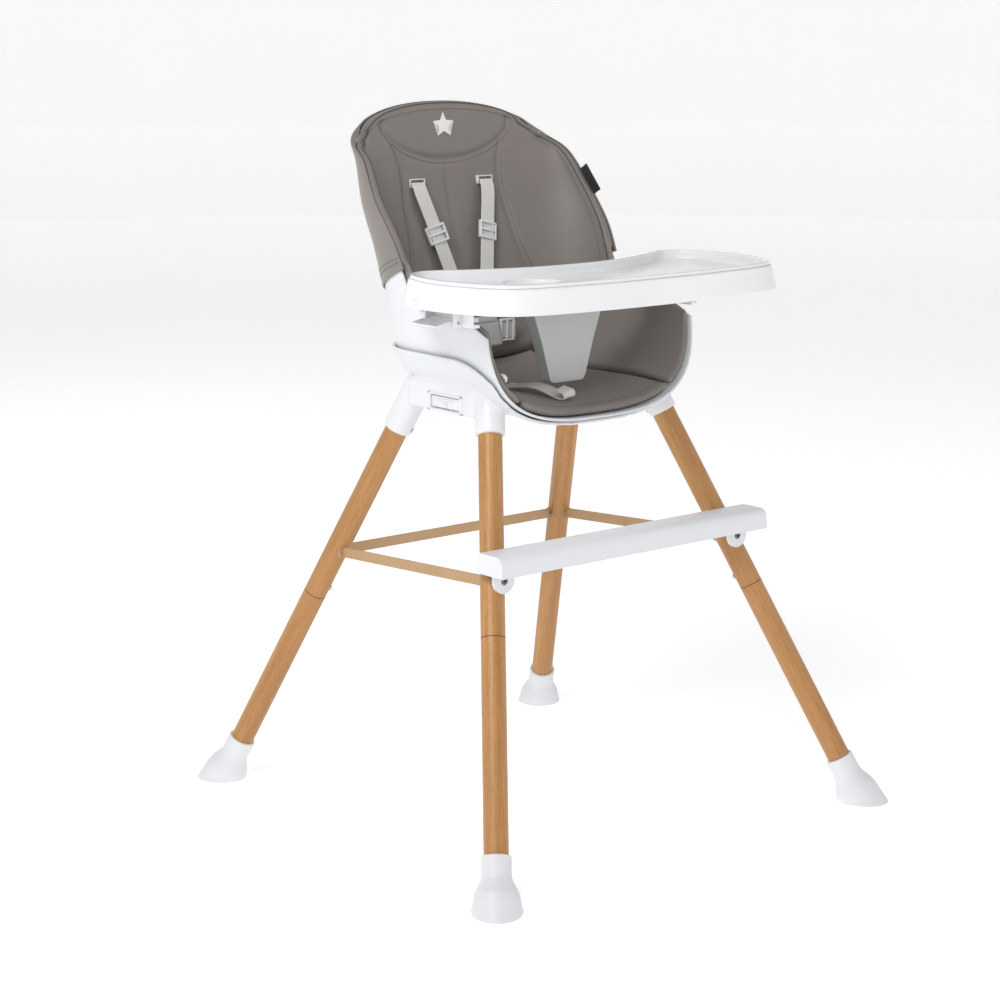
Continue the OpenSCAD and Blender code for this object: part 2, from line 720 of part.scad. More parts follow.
module tray_base() {
    t = tray_wall;
    color(WHITE)
        difference() {
            union() {
                loop_solid([tray_ring(draft + 2, tray_top - 9), tray_ring(t, tray_z),
                            tray_ring(0.5, tray_z), tray_ring(1, tray_z + 2),
                            tray_ring(draft - 3, tray_top - 9), tray_ring(draft - 1, tray_top - 5),
                            tray_ring(draft + 4, tray_top - 5)]);
                translate([0, 0, deck_z - t]) linear_extrude(t)
                    polygon([for (p = tray_ring(draft - 3, 0)) [p[0], p[1]]]);
                // channels that run along the arm rails
                for (m = [0, 1]) mirror([m, 0, 0]) {
                    translate([rail_x, rail_y0 - 10, rail_z - 12])
                        cube([t, 92, deck_z - t - rail_z + 12.5]);
                    translate([hw + 3.5, rail_y0 - 10, rail_z - 12])
                        cube([rail_x - hw - 3.5 + eps, 92, 4.5]);
                    for (y = [rail_y0 + 11, rail_y0 + 71])
                        translate([rail_x + t - eps, y, rail_z - 12])
                            cube([13, 4, deck_z - t - rail_z + 12.5]);
                }
                // socket of the crotch post
                translate([-post_w / 2 - 5, post_neck_y - 5, deck_z - t - 10])
                    cube([post_w + 10, neck_t + 8, 10.5]);
            }
            translate([cup_pos[0], cup_pos[1], deck_z - 20])
                cylinder(h = 30, r = cup_r + 5);
            translate([-post_w / 2 - 0.2, post_neck_y - 0.2, deck_z - t - 11])
                cube([post_w + 0.4, neck_t + 0.4, 11]);
            for (m = [-1, 1], y = [rail_y0 + 10, rail_y0 + 70])
                translate([m * lever_x, y, lever_z]) rotate([-90, 0, 0])
                    cylinder(h = 6, r = 2);
        }
}

module tray_insert() {
    t = tray_wall;
    lip = draft + 1;
    color([0.95, 0.95, 0.96])
        difference() {
            union() {
                loop_solid([tray_ring(lip + 4.5, deck_z + gap), tray_ring(lip + 4, tray_top - 4.5),
                            tray_ring(lip - 2, tray_top - 4.5), tray_ring(lip - 2, tray_top - 2),
                            tray_ring(lip, tray_top), tray_ring(lip + 6, tray_top),
                            tray_ring(lip + 8, tray_top - 2), tray_ring(lip + 8, deck_z + t + 2),
                            tray_ring(lip + 10, deck_z + gap)]);
                translate([0, 0, deck_z + gap]) linear_extrude(t - gap)
                    polygon([for (p = tray_ring(lip + 6, 0)) [p[0], p[1]]]);
                translate([cup_pos[0], cup_pos[1], deck_z + t - cup_deep - 2.5])
                    cylinder(h = cup_deep + 2, r = cup_r + 4);
                translate([cup_pos[0], cup_pos[1], deck_z + t - 1])
                    rotate_extrude() translate([cup_r + 2, 0])
                        polygon([[-2.5, 0], [2.5, 0], [1.2, 2.6], [-1.2, 2.6]]);
            }
            translate([cup_pos[0], cup_pos[1], deck_z + t - cup_deep])
                cylinder(h = 30, r = cup_r - 0.4);
        }
}

module crotch_post() {
    top = deck_z - tray_wall - 0.3;
    shoulder_z = tray_z - 3;
    color([0.68, 0.69, 0.69])
        difference() {
            union() {
                translate([0, post_y + post_t, 0]) rotate([90, 0, 0])
                    linear_extrude(post_t)
                        polygon([[-24, post_z0], [24, post_z0], [29, post_z0 + 2],
                                 [32, post_z0 + 7], [46, post_z0 + 55], [61, tray_z - 26],
                                 [post_w / 2, shoulder_z], [-post_w / 2, shoulder_z],
                                 [-61, tray_z - 26], [-46, post_z0 + 55],
                                 [-32, post_z0 + 7], [-29, post_z0 + 2]]);
                translate([-post_w / 2, post_neck_y, shoulder_z - 10])
                    cube([post_w, post_y - post_neck_y + post_t, 10]);
                translate([-post_w / 2, post_neck_y, shoulder_z - 1])
                    cube([post_w, neck_t, top - shoulder_z + 1]);
            }
            // hollow from the back
            translate([0, post_y + post_t + 1, 0]) rotate([90, 0, 0])
                linear_extrude(post_t - 2)
                    polygon([[-25, post_z0 + 5], [25, post_z0 + 5], [42, post_z0 + 56],
                             [58, tray_z - 18], [-58, tray_z - 18], [-42, post_z0 + 56]]);
        }
}

// Release levers below the tray's sides, squeezed upwards against a spring
lever_x = rail_x + 9;
lever_z = rail_z - 6;
module tray_lever(m) {
    y0 = rail_y0 + 16;
    color(WHITE) mirror([m < 0 ? 1 : 0, 0, 0])
        difference() {
            union() {
                translate([lever_x, y0, lever_z]) rotate([-90, 0, 0]) cylinder(h = 54, r = 4);
                translate([0, y0 + 54, 0]) rotate([90, 0, 0])
                    linear_extrude(54)
                        polygon([[lever_x, lever_z - 4], [lever_x + 30, lever_z - 6],
                                 [lever_x + 33, lever_z - 4], [lever_x + 33, lever_z - 2],
                                 [lever_x, lever_z + 3]]);
            }
            translate([lever_x, y0 - 1, lever_z]) rotate([-90, 0, 0])
                cylinder(h = 60, r = 2 + fit);
        }
}

module lever_pins() {
    color(STEEL)
        for (m = [-1, 1])
            translate([m * lever_x, rail_y0 + 10.5, lever_z]) rotate([-90, 0, 0])
                cylinder(h = 65, r = 2);
}

base_cradle();
socket_screws();
latch_button(-1);  // latch_button_left
latch_button(1);  // latch_button_right
latch_springs();
upper_leg(0);  // upper_leg_front_left
upper_leg(1);  // upper_leg_front_right
upper_leg(2);  // upper_leg_rear_left
upper_leg(3);  // upper_leg_rear_right
lower_leg(0);  // lower_leg_front_left
lower_leg(1);  // lower_leg_front_right
lower_leg(2);  // lower_leg_rear_left
lower_leg(3);  // lower_leg_rear_right
foot(0);  // foot_front_left
foot(1);  // foot_front_right
foot(2);  // foot_rear_left
foot(3);  // foot_rear_right
leg_button(0);  // leg_button_front_left
leg_button(1);  // leg_button_front_right
leg_button(2);  // leg_button_rear_left
leg_button(3);  // leg_button_rear_right
leg_springs();
brace_bar(2, brace_rear_z, 3, brace_rear_z);  // brace_bar_rear
brace_bar(2, brace_rear_z, 0, brace_front_z);  // brace_bar_left
brace_bar(3, brace_rear_z, 1, brace_front_z);  // brace_bar_right
brace_screws();
footrest();
footrest_bracket(0);  // footrest_bracket_left
footrest_bracket(1);  // footrest_bracket_right
footrest_screws();
seat_shell();
seat_cushion();
side_cushion(-1);  // side_cushion_left
side_cushion(1);  // side_cushion_right
back_cushion();
back_cover();
side_tag();
slot_trims();
shoulder_strap(-1);  // shoulder_strap_left
shoulder_strap(1);  // shoulder_strap_right
strap_adjuster(-1);  // strap_adjuster_left
strap_adjuster(1);  // strap_adjuster_right
harness_buckle();
waist_strap();
waist_adjuster();
crotch_strap();
cover_clips();
tray_base();
tray_insert();
crotch_post();
tray_lever(-1);  // tray_lever_left
tray_lever(1);  // tray_lever_right
lever_pins();
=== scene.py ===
import bpy
import bmesh
import math
import numpy as np
from mathutils import Vector, Matrix
from mathutils.bvhtree import BVHTree


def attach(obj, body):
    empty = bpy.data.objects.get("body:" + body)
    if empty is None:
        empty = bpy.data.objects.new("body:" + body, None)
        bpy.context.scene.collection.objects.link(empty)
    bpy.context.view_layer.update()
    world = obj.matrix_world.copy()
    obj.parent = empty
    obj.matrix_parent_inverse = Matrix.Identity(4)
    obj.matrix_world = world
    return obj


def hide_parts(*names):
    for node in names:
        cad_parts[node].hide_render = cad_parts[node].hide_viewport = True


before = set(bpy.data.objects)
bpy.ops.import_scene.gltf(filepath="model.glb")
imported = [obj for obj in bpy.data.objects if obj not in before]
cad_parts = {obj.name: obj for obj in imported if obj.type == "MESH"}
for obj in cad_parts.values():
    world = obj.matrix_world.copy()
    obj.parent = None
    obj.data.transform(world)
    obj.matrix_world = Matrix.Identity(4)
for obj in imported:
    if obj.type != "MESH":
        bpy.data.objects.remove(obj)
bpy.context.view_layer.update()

# ---- Studio --------------------------------------------------------------
# A long lens a little above the seat looks at the chair's left front corner.
# The floor is a white sweep that curls up all round, lit by three soft boxes.
camera = bpy.data.objects.new("camera", bpy.data.cameras.new("camera"))
camera.data.lens = 85.35
camera.data.sensor_width = 36.0
camera.data.clip_end = 4000.0
camera.location = (-2.1002, -2.4674, 1.0992)
aim = Vector((0.0, 0.065, 0.4137)) - camera.location
camera.rotation_euler = aim.to_track_quat("-Z", "Y").to_euler()
bpy.context.scene.collection.objects.link(camera)
bpy.context.scene.camera = camera
bpy.context.scene.view_settings.view_transform = "Standard"


def add(mat, kind, inputs=None, **settings):
    """Adds one node. An input is a value, or the output of another node."""
    node = mat.node_tree.nodes.new(kind)
    for key, value in settings.items():
        setattr(node, key, value)
    for key, value in (inputs or {}).items():
        if isinstance(value, bpy.types.NodeSocket):
            mat.node_tree.links.new(value, node.inputs[key])
        else:
            node.inputs[key].default_value = value
    return node


def linear(code):
    """An sRGB hex colour as linear RGBA."""
    parts = [int(code[i:i + 2], 16) / 255 for i in (1, 3, 5)]
    return [c / 12.92 if c <= 0.04045 else ((c + 0.055) / 1.055) ** 2.4 for c in parts] + [1.0]


def shaded(code, factor):
    """A hex colour made darker or lighter."""
    return [c * factor for c in linear(code)[:3]] + [1.0]


def new_material(name):
    mat = bpy.data.materials.new(name)
    mat.use_nodes = True
    mat.node_tree.nodes.clear()
    return mat


def to_mesh(bm, name):
    mesh = bpy.data.meshes.new(name)
    bm.to_mesh(mesh)
    bm.free()
    return mesh


def painted_floor():
    # Matt white sweep, a touch uneven where the paint dried
    mat = new_material("matt_white_sweep")
    place = add(mat, "ShaderNodeTexCoord")
    cloud = add(mat, "ShaderNodeTexNoise", {"Vector": place.outputs["Object"], "Scale": 1.5})
    tone = add(mat, "ShaderNodeMix", {"Factor": cloud.outputs["Fac"], "A": linear("#F6F6F6"),
                                      "B": linear("#FAFAFA")}, data_type="RGBA")
    skin = add(mat, "ShaderNodeBsdfPrincipled", {"Base Color": tone.outputs[2],
                                                 "Roughness": 0.8,
                                                 "Emission Color": (1.0, 1.0, 1.0, 1.0),
                                                 "Emission Strength": 0.45})
    add(mat, "ShaderNodeOutputMaterial", {"Surface": skin.outputs[0]})
    return mat


bm = bmesh.new()
rows = [[bm.verts.new((r * math.cos(math.radians(a)), r * math.sin(math.radians(a)), z))
         for a in range(0, 360, 6)]
        for r, z in ((8, 0), (9, 0.05), (10.5, 0.45), (11.5, 1.2), (12.2, 2.4), (12.6, 5.0))]
bm.faces.new(rows[0])
for low, high in zip(rows[:-1], rows[1:]):
    for j in range(60):
        bm.faces.new((low[j - 1], high[j - 1], high[j], low[j]))
sweep_mesh = to_mesh(bm, "studio_floor")
floor = bpy.data.objects.new("studio_floor", sweep_mesh)
floor.location.z = -0.0006
floor.data.materials.append(painted_floor())
bpy.context.scene.collection.objects.link(floor)

for name, place, size, watts in (
        ("key_softbox", (-2.6, -1.0, 3.0), 1.5, 70),
        ("fill_softbox", (2.6, -1.8, 2.2), 2.0, 12),
        ("back_softbox", (0.4, 2.8, 3.0), 2.6, 20)):
    lamp = bpy.data.lights.new(name, "AREA")
    lamp.shape = "SQUARE"
    lamp.size = size
    lamp.energy = watts
    lamp_object = bpy.data.objects.new(name, lamp)
    lamp_object.location = place
    lamp_object.rotation_euler = (Vector((0, 0, 0.45)) - Vector(place)).to_track_quat(
        "-Z", "Y").to_euler()
    bpy.context.scene.collection.objects.link(lamp_object)
world = bpy.data.worlds.new("studio")
world.use_nodes = True
world.node_tree.nodes["Background"].inputs[0].default_value = (1.0, 1.0, 1.0, 1.0)
world.node_tree.nodes["Background"].inputs[1].default_value = 0.27
bpy.context.scene.world = world

# ---- Legs ----------------------------------------------------------------
# Each leg is two steel tubes, wrapped in a printed beech foil. The lower one
# plugs into the upper one and is held by a spring button.
def beech_foil(name, grain):
    # Beech print: straight pale grain along the tube with short dark flecks,
    # under a satin film. Flecks are about 6 mm long and 0.7 mm wide.
    mat = new_material(name)
    place = add(mat, "ShaderNodeTexCoord")
    turn = grain.rotation_difference(Vector((0, 0, 1))).to_euler()
    along = add(mat, "ShaderNodeMapping", {"Vector": place.outputs["Object"],
                                           "Rotation": tuple(turn)})
    wide = add(mat, "ShaderNodeMapping", {"Vector": along.outputs[0],
                                          "Scale": (46.0, 46.0, 3.4)})
    band = add(mat, "ShaderNodeTexNoise", {"Vector": wide.outputs[0], "Scale": 1.0,
                                           "Detail": 4.0, "Distortion": 0.6})
    thin = add(mat, "ShaderNodeMapping", {"Vector": along.outputs[0],
                                          "Scale": (620.0, 620.0, 26.0)})
    line = add(mat, "ShaderNodeTexNoise", {"Vector": thin.outputs[0], "Scale": 1.0,
                                           "Detail": 2.0})
    short = add(mat, "ShaderNodeMapping", {"Vector": along.outputs[0],
                                           "Scale": (900.0, 900.0, 120.0)})
    fleck = add(mat, "ShaderNodeTexNoise", {"Vector": short.outputs[0], "Scale": 1.0})
    base = add(mat, "ShaderNodeValToRGB", {"Fac": band.outputs["Fac"]})
    base.color_ramp.elements[0].position = 0.3
    base.color_ramp.elements[0].color = linear("#A87743")
    base.color_ramp.elements[1].position = 0.7
    base.color_ramp.elements[1].color = linear("#C18E57")
    thread = add(mat, "ShaderNodeMapRange", {"Value": line.outputs["Fac"], "From Min": 0.44,
                                             "From Max": 0.62, "To Min": 0.0, "To Max": 0.34})
    grained = add(mat, "ShaderNodeMix", {"Factor": thread.outputs[0], "A": base.outputs[0],
                                         "B": linear("#94632F")}, data_type="RGBA")
    dots = add(mat, "ShaderNodeMapRange", {"Value": fleck.outputs["Fac"], "From Min": 0.63,
                                           "From Max": 0.7, "To Min": 0.0, "To Max": 0.5})
    flecked = add(mat, "ShaderNodeMix", {"Factor": dots.outputs[0], "A": grained.outputs[2],
                                         "B": linear("#74491F")}, data_type="RGBA")
    bump = add(mat, "ShaderNodeBump", {"Height": line.outputs["Fac"], "Strength": 0.12,
                                       "Distance": 0.0004})
    skin = add(mat, "ShaderNodeBsdfPrincipled", {
        "Base Color": flecked.outputs[2], "Roughness": 0.42, "IOR": 1.5,
        "Normal": bump.outputs[0]})
    add(mat, "ShaderNodeOutputMaterial", {"Surface": skin.outputs[0]})
    return mat


def paint_node(node, mat):
    """Gives a CAD piece its finish."""
    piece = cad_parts[node]
    if not piece.material_slots:
        piece.data.materials.append(mat)
    for slot in piece.material_slots:
        slot.material = mat


FEET = {"front_left": (-334, -332), "front_right": (334, -332),
        "rear_left": (-303, 332), "rear_right": (303, 332)}
SOCKETS = {"front_left": (-156, -103, 547), "front_right": (156, -103, 547),
           "rear_left": (-158, 97, 529), "rear_right": (158, 97, 529)}
leg_lines = {}
for corner, (x, y) in FEET.items():
    foot_point = Vector((x, y, 0)) / 1000
    line = (Vector(SOCKETS[corner]) / 1000 - foot_point).normalized()
    leg_lines[corner] = (foot_point, line)
    foil = beech_foil("beech_foil_" + corner, line)
    paint_node("upper_leg_" + corner, foil)
    paint_node("lower_leg_" + corner, foil)

# ---- Steel fittings ------------------------------------------------------
# Screws, spring buttons, pins and springs are bright zinc-plated steel.
def zinc_steel(name, code, roughness):
    # Zinc plate: soft grey metal with a cloudy sheen about 3 mm across
    mat = new_material(name)
    place = add(mat, "ShaderNodeTexCoord")
    cloud = add(mat, "ShaderNodeTexNoise", {"Vector": place.outputs["Object"], "Scale": 330.0,
                                            "Detail": 3.0})
    matt = add(mat, "ShaderNodeMapRange", {"Value": cloud.outputs["Fac"], "To Min": roughness - 0.07,
                                           "To Max": roughness + 0.1})
    tone = add(mat, "ShaderNodeMix", {"Factor": cloud.outputs["Fac"], "A": linear(code),
                                      "B": linear("#8E9092")}, data_type="RGBA")
    skin = add(mat, "ShaderNodeBsdfPrincipled", {"Base Color": tone.outputs[2], "Metallic": 1.0,
                                                 "Roughness": matt.outputs[0]})
    add(mat, "ShaderNodeOutputMaterial", {"Surface": skin.outputs[0]})
    return mat


zinc = zinc_steel("zinc_plated_steel", "#B9BBBD", 0.32)
black_steel = zinc_steel("blackened_steel", "#4A4B4D", 0.42)
for node in ("socket_screws", "latch_springs", "leg_springs", "brace_screws", "lever_pins",
             "leg_button_front_left", "leg_button_front_right", "leg_button_rear_left",
             "leg_button_rear_right"):
    paint_node(node, zinc)
paint_node("footrest_screws", black_steel)

# ---- Braces --------------------------------------------------------------
# Flat steel bars between the rear legs and along both sides, powder-coated
# in a beige that goes with the foil and screwed to the legs.
bar_coat = new_material("beige_powder_coat")
place = add(bar_coat, "ShaderNodeTexCoord")
peel = add(bar_coat, "ShaderNodeTexNoise", {"Vector": place.outputs["Object"], "Scale": 700.0})
streak = add(bar_coat, "ShaderNodeTexNoise", {"Vector": place.outputs["Object"], "Scale": 28.0})
tone = add(bar_coat, "ShaderNodeMix", {"Factor": streak.outputs["Fac"], "A": linear("#B08C62"),
                                       "B": linear("#BB9972")}, data_type="RGBA")
bump = add(bar_coat, "ShaderNodeBump", {"Height": peel.outputs["Fac"], "Strength": 0.15,
                                        "Distance": 0.0003})
skin = add(bar_coat, "ShaderNodeBsdfPrincipled", {"Base Color": tone.outputs[2],
                                                  "Roughness": 0.45, "Normal": bump.outputs[0]})
add(bar_coat, "ShaderNodeOutputMaterial", {"Surface": skin.outputs[0]})
for node in ("brace_bar_rear", "brace_bar_left", "brace_bar_right"):
    paint_node(node, bar_coat)

# ---- Feet ----------------------------------------------------------------
# Bell-shaped caps of white polypropylene, pushed onto the tubes, with a
# fine spark-eroded skin. They are turned shapes, so their collar is round.
def moulded(name, code, roughness, grit=900.0, depth=0.00012, coat=0.0):
    # Injection-moulded plastic: even colour with a faint cloud, a fine
    # eroded grain of about 1 mm and slightly uneven gloss
    mat = new_material(name)
    place = add(mat, "ShaderNodeTexCoord")
    cloud = add(mat, "ShaderNodeTexNoise", {"Vector": place.outputs["Object"], "Scale": 9.0,
                                            "Detail": 3.0})
    tone = add(mat, "ShaderNodeMix", {"Factor": cloud.outputs["Fac"],
                                      "A": shaded(code, 0.965),
                                      "B": linear(code)}, data_type="RGBA")
    grain = add(mat, "ShaderNodeTexNoise", {"Vector": place.outputs["Object"], "Scale": grit,
                                            "Detail": 2.0})
    matt = add(mat, "ShaderNodeMapRange", {"Value": cloud.outputs["Fac"],
                                           "To Min": roughness - 0.04,
                                           "To Max": roughness + 0.05})
    bump = add(mat, "ShaderNodeBump", {"Height": grain.outputs["Fac"], "Strength": 0.25,
                                       "Distance": depth})
    skin = add(mat, "ShaderNodeBsdfPrincipled", {
        "Base Color": tone.outputs[2], "Roughness": matt.outputs[0], "IOR": 1.49,
        "Coat Weight": coat, "Coat Roughness": 0.08, "Normal": bump.outputs[0]})
    add(mat, "ShaderNodeOutputMaterial", {"Surface": skin.outputs[0]})
    return mat


foot_white = moulded("white_polypropylene", "#DEE0E3", 0.45)
for corner in FEET:
    paint_node("foot_" + corner, foot_white)

# ---- Seat shell ----------------------------------------------------------
# One white moulded bucket, 3.5 mm thick, with rails on the arms for the tray.
# Its sections are U-shaped curves that fan out from the front edge to the top.
SEAT = np.array([
    [184, -127, 138, -148, 0, 3.0, 13], [184, -95, 150, -85, 0, 2.7, 24],
    [185, -52, 156, 5, 2, 2.5, 25], [185, -14, 160, 84, 8, 2.5, 28],
    [186, 6, 167, 132, 36, 2.6, 32], [187, 20, 177, 153, 84, 2.5, 33],
    [189, 33, 196, 170, 138, 2.3, 33], [192, 56, 238, 187, 202, 2.2, 32],
    [192, 93, 285, 202, 268, 2.2, 28], [183, 129, 333, 209, 332, 2.2, 24],
    [173, 161, 352, 211, 375, 2.4, 20], [153, 178, 360, 208, 408, 2.1, 14]], float)
TOP_ROW = len(SEAT) - 1.0


def seat_row(u):
    pad = np.vstack([2 * SEAT[0] - SEAT[1], SEAT, 2 * SEAT[-1] - SEAT[-2]])
    i = np.clip(np.floor(u).astype(int), 0, len(SEAT) - 2)
    f = (u - i)[..., None]
    a, b, c, d = pad[i], pad[i + 1], pad[i + 2], pad[i + 3]
    return b + 0.5 * f * ((c - a) + f * ((2 * a - 5 * b + 4 * c - d) + f * (3 * (b - c) + d - a)))


def seat_point(s, u):
    k = seat_row(u)
    e = 2 / k[..., 5]
    a = np.sign(s) * np.abs(np.sin(np.radians(90 * s))) ** e
    b = np.maximum(np.cos(np.radians(90 * s)), 0) ** e
    return np.stack([k[..., 0] * a, k[..., 1] + (k[..., 3] - k[..., 1]) * b,
                     560 + k[..., 2] + (k[..., 4] - k[..., 2]) * b], -1)


def unit(v):
    return v / np.linalg.norm(v, axis=-1, keepdims=True)


def seat_inward(s, u):
    m = np.clip(s, -0.92, 0.92)
    n = np.cross(seat_point(m + 0.01, u) - seat_point(m - 0.01, u),
                 seat_point(s, np.minimum(u + 0.02, TOP_ROW)) - seat_point(s, np.maximum(u - 0.02, 0)))
    n = unit(n)
    # the upper corners face the middle of the back
    to_middle = np.array([0.0, 90.0, 850.0]) - seat_point(s, u)
    to_middle = unit(to_middle)
    k = (np.clip((u - 7.6) / 2.4, 0, 1) * np.clip((np.abs(s) - 0.5) / 0.4, 0, 1))[..., None]
    k = k * k * (3 - 2 * k)
    n = n * (1 - k) + to_middle * k
    return unit(n)


def seat_at(s, u, depth):
    s, u, depth = np.broadcast_arrays(np.asarray(s, float), np.asarray(u, float),
                                      np.asarray(depth, float))
    return (seat_point(s, u) + seat_inward(s, u) * depth[..., None]) / 1000


def grid_solid(name, inner, outer):
    """A closed solid between two grids of points in metres."""
    rows, cols = inner.shape[:2]
    verts = np.concatenate([inner.reshape(-1, 3), outer.reshape(-1, 3)])
    half = rows * cols
    faces = []
    for i in range(rows - 1):
        for j in range(cols - 1):
            a = i * cols + j
            faces.append((a, a + cols, a + cols + 1, a + 1))
            faces.append((half + a, half + a + 1, half + a + cols + 1, half + a + cols))
    rim = ([(0, j) for j in range(cols)] + [(i, cols - 1) for i in range(1, rows)]
           + [(rows - 1, j) for j in range(cols - 2, -1, -1)] + [(i, 0) for i in range(rows - 2, 0, -1)])
    rim = [i * cols + j for i, j in rim]
    for k, a in enumerate(rim):
        b = rim[(k + 1) % len(rim)]
        faces.append((a, b, b + half, a + half))
    mesh = bpy.data.meshes.new(name)
    mesh.from_pydata(verts.tolist(), [], faces)
    return mesh


def place_piece(name, mesh, mat, body, stands_for=(), smooth=35):
    """Puts a finished mesh in the scene as a piece of that body."""
    piece = bpy.data.objects.new(name, mesh)
    bpy.context.scene.collection.objects.link(piece)
    if mat is not None:
        mesh.materials.clear()
        mesh.materials.append(mat)
    mesh.shade_smooth()
    if smooth < 180:
        mesh.set_sharp_from_angle(angle=math.radians(smooth))
    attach(piece, body)
    if stands_for:
        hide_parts(*stands_for)
    return piece


def tidy_normals(mesh, merge=0.00002):
    bm = bmesh.new()
    bm.from_mesh(mesh)
    bmesh.ops.remove_doubles(bm, verts=bm.verts, dist=merge)
    bmesh.ops.recalc_face_normals(bm, faces=bm.faces)
    bm.to_mesh(mesh)
    bm.free()
    return mesh


def merge(bm, part):
    """Adds one bmesh to another."""
    extra = to_mesh(part, "part")
    bm.from_mesh(extra)
    bpy.data.meshes.remove(extra)


def block(bm, low, high, bevel=0.0, segments=3):
    """A box from low to high in mm, with rounded edges, added to bm."""
    part = bmesh.new()
    bmesh.ops.create_cube(part, size=1)
    size = (Vector(high) - Vector(low)) / 1000
    mid = (Vector(high) + Vector(low)) / 2000
    for v in part.verts:
        v.co = Vector((v.co.x * size.x, v.co.y * size.y, v.co.z * size.z)) + mid
    if bevel:
        bmesh.ops.bevel(part, geom=part.edges[:], offset=bevel / 1000, segments=segments,
                        profile=0.5, affect="EDGES")
    merge(bm, part)


def side_block(bm, side, low, high, *edge):
    """The same on one side of the middle: -1 is left and 1 is right."""
    xs = sorted((side * low[0], side * high[0]))
    block(bm, (xs[0],) + low[1:], (xs[1],) + high[1:], *edge)


def rounding(grid, depth_a, depth_b, radius):
    """Brings two faces of a sheet together at its border in a round edge."""
    rows, cols = grid.shape[:2]
    along = np.linalg.norm(np.diff(grid, axis=1), axis=2)
    up = np.linalg.norm(np.diff(grid, axis=0), axis=2)
    left = np.concatenate([np.zeros((rows, 1)), np.cumsum(along, 1)], 1)
    low = np.concatenate([np.zeros((1, cols)), np.cumsum(up, 0)], 0)
    near = np.minimum(np.minimum(left, left[:, -1:] - left), np.minimum(low, low[-1:] - low))
    q = np.sqrt(np.maximum(1 - (1 - np.clip(near / radius, 0, 1)) ** 2, 0))
    mid = (depth_a + depth_b) / 2
    return mid + (depth_a - mid) * q, mid + (depth_b - mid) * q


white_shell = moulded("white_moulded_shell", "#E2E4E7", 0.36)
us = np.concatenate([[0, 0.02, 0.06], np.linspace(0.12, 10.7, 100), [10.76, 10.79, 10.8]])
ss = np.concatenate([[-0.97, -0.968, -0.96], np.linspace(-0.95, 0.95, 96), [0.96, 0.968, 0.97]])
S, U = np.meshgrid(ss, us)
# Under the folded liner the shell stops short of the rim
high = np.clip((U - 6.6) / 1.6, 0, 1)
S = S * (1 - 0.05 * high * high * (3 - 2 * high))
U = np.where(U > 9, 9 + (U - 9) * (1.35 / 1.8), U)
face, back = rounding(seat_at(S, U, 0), np.full(S.shape, 3.5), np.full(S.shape, 0.0), 0.0018)
shell_mesh = grid_solid("seat_shell", seat_at(S, U, face), seat_at(S, U, back))
bm = bmesh.new()
bm.from_mesh(shell_mesh)
for m in (-1, 1):
    side_block(bm, m, (182.5, -112, 700), (197, -4, 706), 1.2)
bm.to_mesh(shell_mesh)
bm.free()
place_piece("seat_bucket", tidy_normals(shell_mesh), white_shell, "seat",
            ["seat_shell"])

# ---- Cushions ------------------------------------------------------------
# The liner is coated fabric over foam in four panels: the seat, two sides
# and the back with its wings. Foam swells between the sewn lines.
def coated_fabric(name, code):
    # Polyurethane-coated fabric: fine leather grain of about 1.2 mm, soft
    # sheen, and a slow change of tone where the foam pushes it out
    mat = new_material(name)
    place = add(mat, "ShaderNodeTexCoord")
    cloud = add(mat, "ShaderNodeTexNoise", {"Vector": place.outputs["Object"], "Scale": 14.0,
                                            "Detail": 4.0})
    tone = add(mat, "ShaderNodeMix", {"Factor": cloud.outputs["Fac"],
                                      "A": shaded(code, 0.92),
                                      "B": shaded(code, 1.07)},
               data_type="RGBA")
    cell = add(mat, "ShaderNodeTexVoronoi", {"Vector": place.outputs["Object"], "Scale": 820.0},
               feature="SMOOTH_F1")
    pore = add(mat, "ShaderNodeTexNoise", {"Vector": place.outputs["Object"], "Scale": 1500.0})
    grain = add(mat, "ShaderNodeMath", {0: cell.outputs["Distance"], 1: pore.outputs["Fac"]},
                operation="ADD")
    matt = add(mat, "ShaderNodeMapRange", {"Value": cloud.outputs["Fac"], "To Min": 0.44,
                                           "To Max": 0.56})
    bump = add(mat, "ShaderNodeBump", {"Height": grain.outputs[0], "Strength": 0.3,
                                       "Distance": 0.00035})
    skin = add(mat, "ShaderNodeBsdfPrincipled", {
        "Base Color": tone.outputs[2], "Roughness": matt.outputs[0], "IOR": 1.46,
        "Sheen Weight": 0.15, "Sheen Roughness": 0.5, "Normal": bump.outputs[0]})
    add(mat, "ShaderNodeOutputMaterial", {"Surface": skin.outputs[0]})
    return mat


taupe = coated_fabric("taupe_coated_fabric", "#817A75")
PAD_EDGE = 11.0
PAD_BACK = 5.2


def pad_depth(s, u):
    t = seat_row(np.asarray(u, float))[..., 6]
    return PAD_EDGE + np.maximum(t - PAD_EDGE, 0) * (1 - np.abs(s) ** 2.5)


def seam_line(points, count=60):
    """A smooth line through points on the seat's surface, as (s, u) pairs."""
    p = np.array(points, float)
    p = np.vstack([2 * p[0] - p[1], p, 2 * p[-1] - p[-2]])
    out = []
    for t in np.linspace(0, len(points) - 1, count):
        i = min(int(t), len(points) - 2)
        f = t - i
        a, b, c, d = p[i:i + 4]
        out.append(b + 0.5 * f * ((c - a) + f * ((2 * a - 5 * b + 4 * c - d)
                                               + f * (3 * (b - c) + d - a))))
    return np.array(out)


def near_seams(points, seams):
    """Distance in metres of every point to the nearest sewn line."""
    near = np.full(len(points), 9.0)
    for seam in seams:
        a, b = seam[:-1], seam[1:]
        for k in range(len(a)):
            d = b[k] - a[k]
            t = np.clip(((points - a[k]) @ d) / max(d @ d, 1e-12), 0, 1)
            near = np.minimum(near, np.linalg.norm(points - (a[k] + t[:, None] * d), axis=1))
    return near


